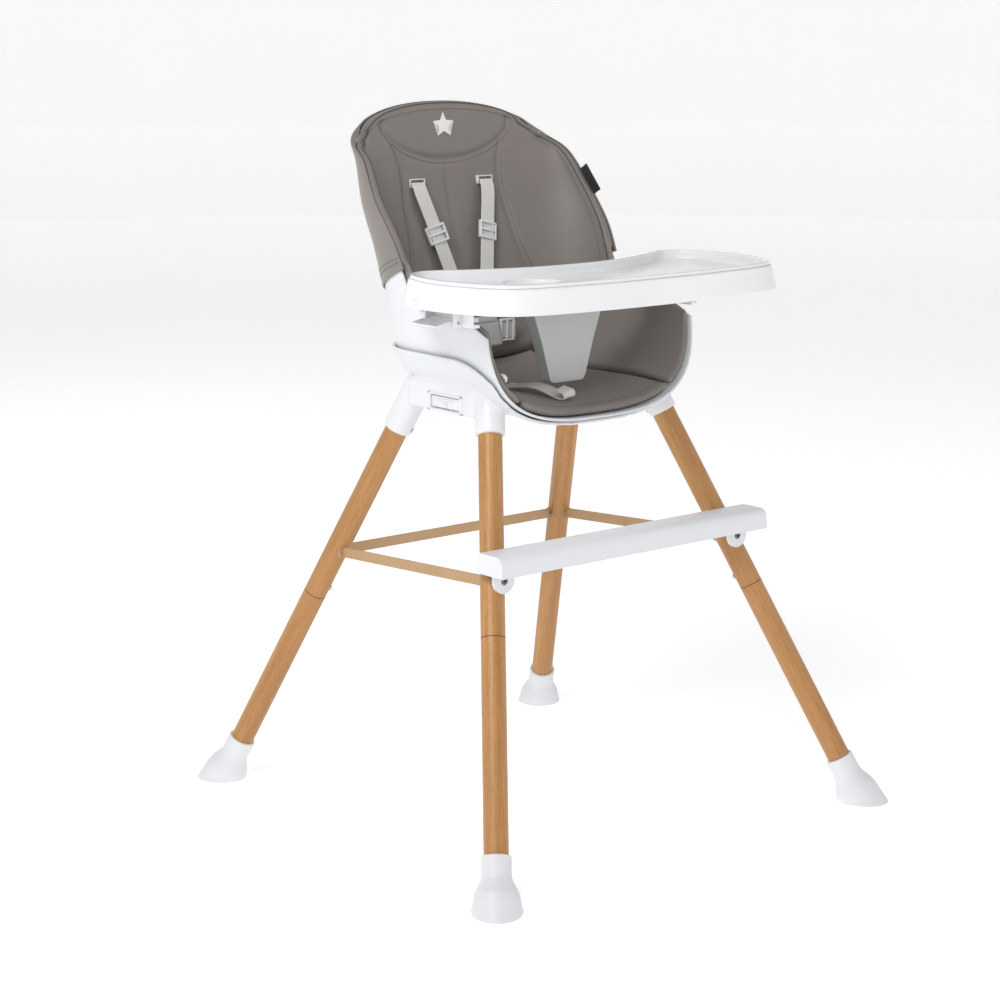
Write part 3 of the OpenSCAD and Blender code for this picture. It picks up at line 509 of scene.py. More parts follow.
def swell(name, S, U, seams, cap, radius=0.008, behind=None):
    """A padded panel: swelled by pressure between its seams, then sewn down."""
    front = pad_depth(S, U)
    surface = seat_at(S, U, front)
    lines = [seat_at(line[:, 0], line[:, 1], pad_depth(line[:, 0], line[:, 1])) for line in seams]
    near = near_seams(surface.reshape(-1, 3), lines).reshape(S.shape) if lines else np.full(S.shape, 9.0)
    front = front - 3.2 * np.exp(-(near / 0.006) ** 2)
    behind = np.full(S.shape, PAD_BACK) if behind is None else behind
    face, back = rounding(seat_at(S, U, front), front, behind, radius)
    mesh = grid_solid(name, seat_at(S, U, face), seat_at(S, U, back))
    start = np.array([v.co for v in mesh.vertices])
    soft = bpy.data.objects.new(name + "_cloth", mesh.copy())
    bpy.context.scene.collection.objects.link(soft)
    half = S.size
    held = soft.vertex_groups.new(name="sewn")
    edge = np.zeros(S.shape, bool)
    edge[0, :] = edge[-1, :] = edge[:, 0] = edge[:, -1] = True
    pinned = (near < 0.0035) | edge
    held.add([int(i) for i in np.flatnonzero(pinned.ravel())], 1.0, "REPLACE")
    held.add(list(range(half, 2 * half)), 1.0, "REPLACE")
    cloth = soft.modifiers.new("foam", "CLOTH")
    cloth.settings.quality = 4
    cloth.settings.mass = 0.3
    cloth.settings.use_pressure = True
    cloth.settings.uniform_pressure_force = 4.0
    cloth.settings.vertex_group_mass = "sewn"
    cloth.settings.shrink_min = -0.03
    cloth.settings.effector_weights.gravity = 0.0
    cloth.collision_settings.use_collision = False
    cloth.point_cache.frame_start = 1
    cloth.point_cache.frame_end = 20
    for step in range(1, 21):
        bpy.context.scene.frame_set(step)
    deps = bpy.context.evaluated_depsgraph_get()
    done = soft.evaluated_get(deps).to_mesh()
    moved = np.array([v.co for v in done.vertices]) - start
    soft.evaluated_get(deps).to_mesh_clear()
    bpy.context.scene.frame_set(1)
    bpy.data.objects.remove(soft)
    length = np.linalg.norm(moved, axis=1, keepdims=True)
    moved *= np.minimum(1, cap / np.maximum(length, 1e-9))
    start = start + moved
    for v, p in zip(mesh.vertices, start):
        v.co = p
    groove = 1.6 * np.exp(-(near / 0.0022) ** 2) / 1000
    sunk = (start[:S.size].reshape(S.shape + (3,))
            - seat_inward(S, U) * groove[..., None]).reshape(-1, 3)
    for v, p in zip(mesh.vertices, sunk):
        v.co = p
    return tidy_normals(mesh)


def crease(u):
    return 0.46 + (0.30 - 0.46) * u / 3.9


def finish_pad(name, mesh, nodes):
    piece = place_piece(name, mesh, taupe, "seat", nodes, smooth=180)
    more = piece.modifiers.new("smooth", "SUBSURF")
    more.levels = more.render_levels = 1
    return piece


# Seat panel, with a sewn line near its front edge
us = np.linspace(0.12, 3.82, 66)
fs = np.linspace(-1, 1, 48)
F, U = np.meshgrid(fs, us)
S = F * (crease(U) - 0.012)
mesh = swell("seat_pad", S, U, [], 0.004, 0.007)
seat_pad = finish_pad("seat_pad", mesh, ["seat_cushion"])

# Side panels run from the seat's crease up to the arms
side_pads = {}
for m, label in ((-1, "left"), (1, "right")):
    fs = np.linspace(0, 1, 44)
    F, U = np.meshgrid(fs, us)
    S = crease(U) + 0.012 + (0.985 - crease(U) - 0.012) * F
    if m < 0:
        S = -S[:, ::-1]
    mesh = swell("side_pad_" + label, S, U, [], 0.004, 0.006)
    side_pads[label] = finish_pad("side_pad_" + label, mesh, ["side_cushion_" + label])

# Back panel: an arc under the headrest, a middle seam and a seam where each
# wing begins
arc = seam_line([(-0.47, 10.5), (-0.39, 9.7), (-0.28, 9.2), (-0.12, 8.93), (0, 8.88),
                 (0.12, 8.93), (0.28, 9.2), (0.39, 9.7), (0.47, 10.5)], 80)
middle = seam_line([(0, 8.85), (0, 7.5), (0, 6.0), (0, 4.2)])
wing_left = seam_line([(-0.35, 9.4), (-0.30, 8.5), (-0.32, 7.6), (-0.36, 6.8), (-0.43, 6.0), (-0.5, 4.6)])
wing_right = wing_left * (-1, 1)
us = np.concatenate([np.linspace(3.92, 10.8, 100), [10.85, 10.89, 10.93, 10.97, TOP_ROW]])
ss = np.concatenate([[-1, -0.996, -0.990, -0.984], np.linspace(-0.978, -0.55, 34)[:-1],
                     np.linspace(-0.55, 0.55, 90), np.linspace(0.55, 0.978, 34)[1:],
                     [0.984, 0.990, 0.996, 1]])
S, U = np.meshgrid(ss, us)
# Above the arms the panel is folded back over the rim of the shell
folded = np.maximum(np.clip((np.abs(S) - 0.974) / 0.006, 0, 1), np.clip((U - 10.84) / 0.04, 0, 1))
folded = folded * np.clip((U - 6.15) / 0.1, 0, 1)
mesh = swell("back_pad", S, U, [arc, middle, wing_left, wing_right], 0.005, 0.0085,
                         PAD_BACK + (-0.9 - PAD_BACK) * folded)
back_pad = finish_pad("back_pad", mesh, ["back_cushion"])

# ---- Cover ---------------------------------------------------------------
# The liner's outer panel hugs the back of the shell like a hood. It is one
# layer of the same fabric, hemmed round its lower edge.
HOOD_HEM = 6.2
us = np.concatenate([[6.05, 6.07, 6.12], np.linspace(HOOD_HEM, 10.9, 58), [10.96, 11.0]])
ss = np.concatenate([[-1, -0.998, -0.99], np.linspace(-0.98, 0.98, 90), [0.99, 0.998, 1]])
S, U = np.meshgrid(ss, us)
near, far = rounding(seat_at(S, U, 0), np.full(S.shape, -1.0), np.full(S.shape, -3.4), 0.0012)
hood_mesh = grid_solid("back_hood", seat_at(S, U, near), seat_at(S, U, far))
place_piece("back_hood", tidy_normals(hood_mesh), taupe, "seat",
            ["back_cover"], smooth=180)

# The hood meets the liner round the rim, and a thin piping cord is sewn into
# the liner's edge.
def relax(line, rounds):
    """Smooths a line of points in place and keeps its ends."""
    for _ in range(rounds):
        line[1:-1] = (line[:-2] + 2 * line[1:-1] + line[2:]) / 4


def rim_path(u_low, s_edge=1.0, top=TOP_ROW, count=90):
    """A line round the liner from the left arm over the top to the right arm."""
    left = [(-s_edge, u) for u in np.linspace(u_low, top - 0.3, count)]
    over = [(s_edge * math.sin(math.radians(a)), top) for a in np.linspace(-66, 66, count)]
    right = [(s_edge, u) for u in np.linspace(top - 0.3, u_low, count)]
    line = np.array(left + over + right)
    relax(line, 10)
    return line


def loft(name, rings, ends=True):
    """A closed tube through rings of points in metres."""
    rings = np.asarray(rings)
    rows, cols = rings.shape[:2]
    faces = [(i * cols + j, i * cols + (j + 1) % cols, (i + 1) * cols + (j + 1) % cols,
              (i + 1) * cols + j) for i in range(rows - 1) for j in range(cols)]
    if ends:
        faces += [tuple(range(cols - 1, -1, -1)), tuple((rows - 1) * cols + j for j in range(cols))]
    mesh = bpy.data.meshes.new(name)
    mesh.from_pydata(rings.reshape(-1, 3).tolist(), [], faces)
    return mesh


dark_taupe = coated_fabric("taupe_piping_cord", "#57524E")


# Lockstitches run beside the seams: 3.2 mm stitches at a 4.4 mm pitch
def applied(work):
    """A work object's finished mesh; the object itself goes."""
    deps = bpy.context.evaluated_depsgraph_get()
    done = bpy.data.meshes.new_from_object(work.evaluated_get(deps), depsgraph=deps)
    bpy.data.objects.remove(work)
    return done


def stitch_tree():
    tree = bpy.data.node_groups.new("lockstitch_run", "GeometryNodeTree")
    face = tree.interface
    face.new_socket("Line", in_out="INPUT", socket_type="NodeSocketGeometry")
    ids = {}
    for label, kind, value in (("Pitch", "NodeSocketFloat", 0.0044),
                               ("Stitch length", "NodeSocketFloat", 0.0032),
                               ("Thread radius", "NodeSocketFloat", 0.0004),
                               ("Thread", "NodeSocketMaterial", None)):
        socket = face.new_socket(label, in_out="INPUT", socket_type=kind)
        if value is not None:
            socket.default_value = value
        ids[label] = socket.identifier
    face.new_socket("Stitches", in_out="OUTPUT", socket_type="NodeSocketGeometry")
    nodes, link = tree.nodes, tree.links.new
    start, end = nodes.new("NodeGroupInput"), nodes.new("NodeGroupOutput")
    curve = nodes.new("GeometryNodeMeshToCurve")
    dots = nodes.new("GeometryNodeCurveToPoints")
    dots.mode = "LENGTH"
    thread = nodes.new("GeometryNodeMeshCylinder")
    thread.inputs["Vertices"].default_value = 6
    lay = nodes.new("GeometryNodeInstanceOnPoints")
    real = nodes.new("GeometryNodeRealizeInstances")
    paint = nodes.new("GeometryNodeSetMaterial")
    link(start.outputs["Line"], curve.inputs[0])
    link(curve.outputs[0], dots.inputs["Curve"])
    link(start.outputs["Pitch"], dots.inputs["Length"])
    link(dots.outputs["Points"], lay.inputs["Points"])
    link(dots.outputs["Rotation"], lay.inputs["Rotation"])
    link(start.outputs["Stitch length"], thread.inputs["Depth"])
    link(start.outputs["Thread radius"], thread.inputs["Radius"])
    link(thread.outputs["Mesh"], lay.inputs["Instance"])
    link(lay.outputs[0], real.inputs[0])
    link(real.outputs[0], paint.inputs["Geometry"])
    link(start.outputs["Thread"], paint.inputs["Material"])
    link(paint.outputs[0], end.inputs[0])
    return tree, ids


lockstitch, stitch_ids = stitch_tree()
thread = coated_fabric("polyester_thread", "#6E6762")


def sew(name, lines, body, colour, slot="cover_fabric", **sizes):
    """Lays stitches along lines of points in metres."""
    mesh = bpy.data.meshes.new(name)
    verts, edges = [], []
    for line in lines:
        first = len(verts)
        verts += [tuple(p) for p in line]
        edges += [(first + k, first + k + 1) for k in range(len(line) - 1)]
    mesh.from_pydata(verts, edges, [])
    run = bpy.data.objects.new(name, mesh)
    bpy.context.scene.collection.objects.link(run)
    nodes = run.modifiers.new("stitches", "NODES")
    nodes.node_group = lockstitch
    nodes[stitch_ids["Thread"]] = colour
    for label, value in sizes.items():
        nodes[stitch_ids[label.replace("_", " ")]] = value
    done = applied(run)
    return place_piece(name, done, None, body, smooth=40)


def on_surface(piece_mesh, points, lift):
    """Moves points onto a mesh and lifts them off it."""
    tree = BVHTree.FromPolygons([v.co for v in piece_mesh.vertices],
                                [p.vertices for p in piece_mesh.polygons])
    out = []
    for p in points:
        spot, normal, _, _ = tree.find_nearest(Vector(p))
        out.append(spot + normal * lift)
    return np.array(out)


def beside(line, offset):
    """A line of (s, u) pairs moved sideways on the seat's surface, in mm."""
    p = seat_at(line[:, 0], line[:, 1], pad_depth(line[:, 0], line[:, 1]))
    run = np.gradient(p, axis=0)
    run = unit(run)
    across = np.cross(run, seat_inward(line[:, 0], line[:, 1]))
    return p + across * offset / 1000


runs = [beside(arc, 4), beside(wing_left, 4), beside(wing_right, -4)]
runs = [on_surface(back_pad.data, r, 0.0002) for r in runs]
sew("seam_stitches", runs, "seat", thread)
line = rim_path(4.3, 0.935, 10.72)
edge_run = on_surface(back_pad.data, seat_at(line[:, 0], line[:, 1], pad_depth(*line.T)), 0.0002)
sew("edge_stitches", [edge_run], "seat", thread)
line = rim_path(4.1, 0.976, 10.9)
cord_line = on_surface(back_pad.data, seat_at(line[:, 0], line[:, 1], 9.5), 0.0002)
relax(cord_line, 4)
run = np.gradient(cord_line, axis=0)
run = unit(run)
inward = seat_inward(line[:, 0], line[:, 1])
out = np.cross(run, inward)
out = unit(out)
turn = np.radians(np.arange(0, 360, 45))
rings = [[c + o * (0.0012 * math.cos(t)) + np.cross(o, r) * (0.0012 * math.sin(t)) for t in turn]
         for c, o, r in zip(cord_line, out, run)]
place_piece("rim_piping", tidy_normals(loft("rim_piping", rings)), dark_taupe, "seat",
            smooth=180)
hem = [seat_at(s, HOOD_HEM + 0.12, -3.75) for s in np.linspace(-0.98, 0.98, 160)]
hem_2 = [seat_at(s, HOOD_HEM + 0.24, -3.75) for s in np.linspace(-0.98, 0.98, 160)]
sew("hem_stitches", [hem, hem_2], "seat", thread)
front_run = []
for s0, s1 in ((-0.96, -0.48), (-0.40, 0.40), (0.48, 0.96)):
    front_run.append(np.array([seat_at(s, 0.33, pad_depth(s, 0.33)) for s in np.linspace(s0, s1, 60)]))
front_run = [on_surface(piece.data, r, 0.0003) for piece, r in
             zip((side_pads["left"], seat_pad, side_pads["right"]), front_run)]
sew("front_stitches", front_run, "seat", thread)

# A plain five-pointed star is printed on the headrest
print_white = coated_fabric("pale_screen_print", "#F0EDE9")
STAR_TIP, STAR_NOTCH = 0.019, 0.0088
mark_bm = bmesh.new()
ring = []
for k in range(10):
    reach = STAR_TIP if k % 2 == 0 else STAR_NOTCH
    a = math.radians(90 + 36 * k)
    ring.append(mark_bm.verts.new((reach * math.cos(a), 0, reach * math.sin(a))))
mark_bm.faces.new(ring)
bmesh.ops.triangulate(mark_bm, faces=mark_bm.faces[:])
for _ in range(4):
    bmesh.ops.subdivide_edges(mark_bm, edges=mark_bm.edges[:], cuts=1, use_grid_fill=True)
mark_mesh = to_mesh(mark_bm, "headrest_star")
spot = seat_at(0.0, 10.0, pad_depth(0.0, 10.0))
up = Vector(seat_at(0.0, 10.5, 15) - seat_at(0.0, 9.5, 15)).normalized()
for v in mark_mesh.vertices:
    v.co = Vector(spot) + Vector((1, 0, 0)) * v.co.x + up * v.co.z
for v, p in zip(mark_mesh.vertices, on_surface(back_pad.data, [v.co for v in mark_mesh.vertices],
                                               0.0010)):
    v.co = p
star = place_piece("headrest_star", mark_mesh, print_white, "seat", smooth=60)
film = star.modifiers.new("film", "SOLIDIFY")
film.thickness = 0.0004
film.offset = 0

# ---- Seat base -----------------------------------------------------------
# The bowl that carries the seat is one white moulding with four sockets. The
# sockets run into it with wide fillets, and its rim is rolled outwards.
BOWL_RIM = 86.0


def rim_s(u):
    k = seat_row(np.asarray(u, float))
    z = BOWL_RIM - 30 * np.maximum(1 - u / 1.5, 0) ** 1.5
    c = (k[..., 2] - z) / (k[..., 2] - k[..., 4])
    turn = np.degrees(np.arccos(np.clip(np.maximum(c, 0) ** (k[..., 5] / 2), 0, 1))) / 90
    return np.where(c >= 1, 0.02, turn)


def cylinder_between(bm, a, b, radius, sides=48):
    """A closed cylinder from a to b in metres, added to bm."""
    a, b = Vector(a), Vector(b)
    part = bmesh.new()
    bmesh.ops.create_cone(part, cap_ends=True, segments=sides, radius1=radius, radius2=radius,
                          depth=(b - a).length)
    turn = (b - a).to_track_quat("Z", "Y").to_matrix().to_4x4()
    bmesh.ops.transform(part, matrix=Matrix.Translation((a + b) / 2) @ turn, verts=part.verts)
    merge(bm, part)


def prism(bm, outline, y0, y1):
    """An upright plate: an outline in x and z in mm, from y0 to y1."""
    part = bmesh.new()
    near_face = [part.verts.new((x / 1000, y0 / 1000, z / 1000)) for x, z in outline]
    far_face = [part.verts.new((x / 1000, y1 / 1000, z / 1000)) for x, z in outline]
    part.faces.new(near_face)
    part.faces.new(far_face[::-1])
    for j in range(len(outline)):
        k = (j + 1) % len(outline)
        part.faces.new((near_face[j], far_face[j], far_face[k], near_face[k]))
    bmesh.ops.recalc_face_normals(part, faces=part.faces[:])
    merge(bm, part)


def cut(mesh, cutter, operation="DIFFERENCE"):
    """One exact boolean on a mesh."""
    body = bpy.data.objects.new("work", mesh)
    tool = bpy.data.objects.new("tool", cutter)
    for o in (body, tool):
        bpy.context.scene.collection.objects.link(o)
    step = body.modifiers.new("cut", "BOOLEAN")
    step.operation = operation
    step.solver = "EXACT"
    step.object = tool
    done = applied(body)
    bpy.data.objects.remove(tool)
    return done


def fuse(mesh, voxel, rounds):
    """Runs overlapping solids into one skin with soft inner corners."""
    body = bpy.data.objects.new("work", mesh)
    bpy.context.scene.collection.objects.link(body)
    skin = body.modifiers.new("skin", "REMESH")
    skin.mode = "VOXEL"
    skin.voxel_size = voxel
    soft = body.modifiers.new("soft", "SMOOTH")
    soft.factor = 0.5
    soft.iterations = rounds
    done = applied(body)
    return done


us = np.concatenate([[0.1], np.linspace(0.16, 4.75, 60)])
F, U = np.meshgrid(np.linspace(-1, 1, 90), us)
S = F * rim_s(U)
bm = bmesh.new()
bowl = grid_solid("bowl", seat_at(S, U, -2.0), seat_at(S, U, -6.6))
bm.from_mesh(bowl)
edge = np.concatenate([np.stack([-rim_s(us), us], 1), np.stack([np.linspace(-1, 1, 60) * rim_s(4.75),
                                                                np.full(60, 4.75)], 1)[1:-1],
                       np.stack([rim_s(us), us], 1)[::-1]])
centre = seat_at(edge[:, 0], edge[:, 1], -6.2)
relax(centre, 6)
run = np.gradient(centre, axis=0)
run = unit(run)
side_way = seat_inward(edge[:, 0], edge[:, 1])
other = np.cross(run, side_way)
turn = np.radians(np.arange(0, 360, 36))
bead = loft("bead", [[c + a * 0.0030 * math.cos(t) + b * 0.0030 * math.sin(t) for t in turn]
                     for c, a, b in zip(centre, side_way, other)])
bm.from_mesh(bead)
socket_frames = {}
for corner, (x, y, z) in SOCKETS.items():
    start = Vector((x, y, z)) / 1000
    line = leg_lines[corner][1]
    socket_frames[corner] = (start, line)
    cylinder_between(bm, start, start + line * (0.058 if "front" in corner else 0.076), 0.020)
for m in (-1, 1):
    outline = [(165, 568), (165, 600), (163, 607), (153, 608), (105, 576), (105, 568)]
    prism(bm, [(m * x, z) for x, z in outline], -76, 62)
base_mesh = to_mesh(bm, "base_work")
base_mesh = fuse(base_mesh, 0.0024, 10)
S2, U2 = np.meshgrid(np.linspace(-1, 1, 60), np.linspace(0.0, 6.0, 50))
cavity = tidy_normals(grid_solid("cavity", seat_at(S2, U2, 45), seat_at(S2, U2, -1.6)))
base_mesh = cut(base_mesh, cavity)
for m in (-1, 1):
    bm = bmesh.new()
    side_block(bm, m, (161, -50, 572), (175, 11, 590), 1.5)
    tool = to_mesh(bm, "window")
    base_mesh = cut(base_mesh, tool)
for start, line in socket_frames.values():
    bm = bmesh.new()
    cylinder_between(bm, start - line * 0.004, start + line * 0.036, 0.01608, 64)
    tool = to_mesh(bm, "bore")
    base_mesh = cut(base_mesh, tool)
bm = bmesh.new()
bm.from_mesh(base_mesh)
for m in (-1, 1):
    # a raised frame round the latch window
    for y0, y1, z0, z1 in ((-56, 17, 590.4, 593.4), (-56, 17, 568.6, 571.6),
                           (-56, -50.4, 568.6, 593.4), (11.4, 17, 568.6, 593.4)):
        side_block(bm, m, (163, y0, z0), (167, y1, z1), 1.2)
bm.to_mesh(base_mesh)
bm.free()
place_piece("seat_base", base_mesh, white_shell, "stand", ["base_cradle"],
            smooth=50)

# Latch buttons on both sides, each with a finger ledge and a small tab
for m, label in ((-1, "left"), (1, "right")):
    bm = bmesh.new()
    side_block(bm, m, (154, -48.6, 573.4), (165, 9.6, 588.6), 1.6)
    side_block(bm, m, (160, -38, 583.4), (167, -1, 586.2), 1.0)
    side_block(bm, m, (160, -25, 575.0), (167, -14, 580.0), 1.0)
    mesh = to_mesh(bm, "latch_button_" + label)
    place_piece("latch_key_" + label, mesh, white_shell, "latch_button_" + label,
                ["latch_button_" + label], smooth=40)

# A dark line where the foil ends on each pair of tubes
joint_line = moulded("dark_foil_edge", "#4A3421", 0.5)
bm = bmesh.new()
for corner, (foot_point, line) in leg_lines.items():
    split = foot_point + line * ((0.307 if "front" in corner else 0.288) / line.z)
    cylinder_between(bm, split - line * 0.0005, split + line * 0.0005, 0.01615, 48)
mesh = to_mesh(bm, "tube_joints")
place_piece("tube_joints", mesh, joint_line, "stand", smooth=40)

# ---- Harness -------------------------------------------------------------
# Five-point harness in pale grey polyester webbing, 23 mm wide and 1.6 mm
# thick. The shoulder straps come through slots in the back.
def woven_webbing(name, code):
    # Polyester webbing: lengthwise ribs 1.6 mm apart crossed by a fine weft,
    # read from the strap's own map, which is in metres
    mat = new_material(name)
    lay = add(mat, "ShaderNodeUVMap", uv_map="UVMap")
    rib = add(mat, "ShaderNodeTexWave", {"Vector": lay.outputs[0], "Scale": 196.0,
                                         "Distortion": 0.0}, bands_direction="X")
    weft = add(mat, "ShaderNodeTexWave", {"Vector": lay.outputs[0], "Scale": 150.0,
                                          "Distortion": 0.6, "Detail": 1.0},
               bands_direction="DIAGONAL")
    weave = add(mat, "ShaderNodeMath", {0: rib.outputs["Fac"], 1: weft.outputs["Fac"]},
                operation="ADD")
    shade = add(mat, "ShaderNodeMapRange", {"Value": weave.outputs[0], "From Max": 2.0})
    tone = add(mat, "ShaderNodeMix", {"Factor": shade.outputs[0],
                                      "A": shaded(code, 0.78),
                                      "B": shaded(code, 1.05)},
               data_type="RGBA")
    bump = add(mat, "ShaderNodeBump", {"Height": weave.outputs[0], "Strength": 0.5,
                                       "Distance": 0.0004})
    skin = add(mat, "ShaderNodeBsdfPrincipled", {
        "Base Color": tone.outputs[2], "Roughness": 0.78, "IOR": 1.5, "Sheen Weight": 0.3,
        "Normal": bump.outputs[0]})
    add(mat, "ShaderNodeOutputMaterial", {"Surface": skin.outputs[0]})
    return mat


webbing_grey = woven_webbing("grey_polyester_webbing", "#E6E5E2")
WEB_W = 23.0


def smooth_path(points, count):
    return seam_line([tuple(p) for p in points], count)


def webbing(name, path, across, width, nodes, body="seat"):
    """A woven strap along a path in mm, with a rounded edge and its own map."""
    path = np.asarray(path, float) / 1000
    run = np.gradient(path, axis=0)
    run = unit(run)
    wide = np.asarray(across, float) - run * (run @ np.asarray(across, float))[:, None]
    wide = unit(wide)
    up = np.cross(run, wide)
    w, t = width / 2000, 0.0008
    shape = [(-1, 0), (-0.985, 0.7), (-0.93, 1.1), (-0.85, 0.9)] + [
        (x, 0.9 + 0.06 * math.cos(x * 40)) for x in np.linspace(-0.75, 0.75, 9)] + [
        (0.85, 0.9), (0.93, 1.1), (0.985, 0.7), (1, 0)]
    shape += [(x, -y) for x, y in shape[-2:0:-1]]
    rings = [[p + a * x * w + n * y * t for x, y in shape] for p, a, n in zip(path, wide, up)]
    mesh = loft(name, rings)
    gone = np.concatenate([[0], np.cumsum(np.linalg.norm(np.diff(path, axis=0), axis=1))])
    chart = mesh.uv_layers.new(name="UVMap")
    k = len(shape)
    for loop in mesh.loops:
        i, j = divmod(loop.vertex_index, k)
        chart.data[loop.index].uv = (shape[j][0] * w, gone[i])
    bm = bmesh.new()
    bm.from_mesh(mesh)
    bmesh.ops.recalc_face_normals(bm, faces=bm.faces[:])
    bm.to_mesh(mesh)
    bm.free()
    return place_piece(name, mesh, webbing_grey, body, nodes, smooth=60)


def shoulder_path(m):
    return [(m * 61, 222, 857), (m * 61, 176, 857), (m * 61, 169, 853), (m * 59, 163, 839),
            (m * 52, 155, 812), (m * 45, 147, 784), (m * 38, 139, 756), (m * 31, 131, 728),
            (m * 24, 121, 701), (m * 18, 112, 682), (m * 16, 109, 675)]


fitting_white = moulded("white_acetal_fitting", "#E6E6E6", 0.34)


def set_along(mesh, origin, run, face):
    """Turns a mesh made flat, its length along Y, to lie along run."""
    y = Vector(run).normalized()
    z = (Vector(face) - y * Vector(face).dot(y)).normalized()
    x = y.cross(z)
    turn = Matrix((x, y, z)).transposed().to_4x4()
    mesh.transform(Matrix.Translation(Vector(origin) / 1000) @ turn)
    return mesh


def glide(name):
    """A ladder-lock frame of five rounded bars round the webbing."""
    bm = bmesh.new()
    w = WEB_W / 2 + 4.4
    for x in (-1, 1):
        block(bm, (x * w - (3.2 if x > 0 else 0), -13, -2.9), (x * w + (3.2 if x < 0 else 0), 13, 2.9),
              1.3)
    for y in (-13, -2.0, 9.4):
        block(bm, (-w + 1, y, 1.0), (w - 1, y + 3.6, 3.4), 1.0)
    block(bm, (-w + 1, -13, -2.9), (w - 1, -9.6, -1.2), 0.6)
    block(bm, (-w + 1, 9.6, -2.9), (w - 1, 13, -1.2), 0.6)
    mesh = to_mesh(bm, name)
    return mesh


for m, label in ((-1, "left"), (1, "right")):
    path = smooth_path(shoulder_path(m), 110)
    webbing("shoulder_web_" + label, path, (1, 0, 0), WEB_W, ["shoulder_strap_" + label])
    at = smooth_path(shoulder_path(m), 101)
    mesh = set_along(glide("web_glide_" + label), at[49], at[53] - at[45], (0, -1, -0.2))
    place_piece("web_glide_" + label, mesh, fitting_white, "strap_adjuster_" + label,
                ["strap_adjuster_" + label], smooth=40)

# Trims line the slots in the back
bm = bmesh.new()
for m in (-1, 1):
    x = m * 61
    for y0, y1 in ((171, 184), (206, 213)):
        block(bm, (x - 13.2, y0, 861.2), (x + 13.2, y1, 862.8), 0.7)
        block(bm, (x - 13.2, y0, 851.2), (x + 13.2, y1, 852.8), 0.7)
        block(bm, (x - 13.2, y0, 851.2), (x - 12.0, y1, 862.8), 0.5)
        block(bm, (x + 12.0, y0, 851.2), (x + 13.2, y1, 862.8), 0.5)
mesh = to_mesh(bm, "slot_liners")
place_piece("slot_liners", mesh, fitting_white, "seat", ["slot_trims"], smooth=40)

# Buckle, with its plain release button, and the short waist strap
bm = bmesh.new()
block(bm, (-24, -6, -22), (24, 6, 22), 3.5, 4)
block(bm, (-18, -7.2, 12), (18, -4, 18), 1.2)
cylinder_between(bm, (0, -0.0075, -0.002), (0, 0.0, -0.002), 0.009)
mesh = to_mesh(bm, "harness_clasp")
mesh.transform(Matrix.Translation((0, 0.098, 0.650)) @ Matrix.Rotation(math.radians(-20), 4, "X"))
clasp_grey = moulded("grey_acetal_clasp", "#BCBDBC", 0.42)
place_piece("harness_clasp", mesh, clasp_grey, "seat", ["harness_buckle"],
            smooth=40)
webbing("waist_web", smooth_path([(24.5, 100, 650), (34, 100, 650), (48, 100, 650), (57, 100, 650)],
                                 24), (0, 0, 1), WEB_W, ["waist_strap"])
mesh = set_along(glide("waist_glide"), (41, 100, 650), (1, 0, 0), (0, -1, 0))
place_piece("waist_glide", mesh, fitting_white, "seat", ["waist_adjuster"],
            smooth=40)

# Crotch strap: comes out of the seat pad and ends in a sewn fold
def on_pad(f):
    q, u = -0.14 + 0.09 * f, 1.85 - 1.13 * f
    return seat_at(q, u, pad_depth(np.float64(q), u) + 4) * 1000


tip = on_pad(1.0)
way = (on_pad(1.0) - on_pad(0.8)) / np.linalg.norm(on_pad(1.0) - on_pad(0.8))
points = [on_pad(f) + (0, 0, 7 * math.sin(math.pi * f) ** 2) for f in np.linspace(0, 1, 11)]
points += [tip + way * 5 * (0.5 + math.cos(math.radians(a))) + (0, 0, 4.5 + 4.5 * math.sin(math.radians(a)))
           for a in np.linspace(-60, 90, 6)]
points.append(tip - way * 8 + (0, 0, 10))
webbing("crotch_web", smooth_path(points, 90), (1, 0.1, 0.15), WEB_W, ["crotch_strap"])

# A round stud holds the liner's left front corner to the shell
bm = bmesh.new()
spot = Vector(seat_at(-0.70, 0.25, pad_depth(0.70, np.float64(0.25)) + 1.5))
axis = Vector(seat_inward(np.float64(-0.70), np.float64(0.25)))
cylinder_between(bm, spot, spot + axis * 0.0022, 0.0068)
cylinder_between(bm, spot + axis * 0.002, spot + axis * 0.0048, 0.0044)
mesh = to_mesh(bm, "liner_studs")
studs = place_piece("liner_studs", mesh, fitting_white, "seat", ["cover_clips"],
                    smooth=40)
round_off = studs.modifiers.new("round", "BEVEL")
round_off.width = 0.0006
round_off.segments = 3

# ---- Side tag ------------------------------------------------------------
# A folded black ribbon, plain, caught in the seam of the right wing.
tag_black = woven_webbing("black_satin_ribbon", "#141415")
TAG_U = 8.15
run = seat_point(1.0, np.float64(TAG_U + 0.1)) - seat_point(1.0, np.float64(TAG_U - 0.1))
run = unit(run)
facing = seat_inward(np.float64(1.0), np.float64(TAG_U))
facing = facing - facing @ run * run
facing = unit(facing)
outwards = np.cross(run, facing)
turned = Matrix([list(-run), list(outwards), list(facing)]).transposed().to_4x4()
turned.translation = Vector(seat_at(1.0, TAG_U, 0))
bm = bmesh.new()
block(bm, (-22, -1.5, -2.4), (22, 11.9, -0.4), 0.8)
block(bm, (-22.4, 9.6, -2.9), (22.4, 12.4, 0.1), 1.2)
mesh = to_mesh(bm, "side_ribbon")
mesh.transform(turned)
chart = mesh.uv_layers.new(name="UVMap")
for loop in mesh.loops:
    v = mesh.vertices[loop.vertex_index].co
    chart.data[loop.index].uv = (v.y, v.z)
place_piece("side_ribbon", mesh, tag_black, "seat", ["side_tag"], smooth=60)

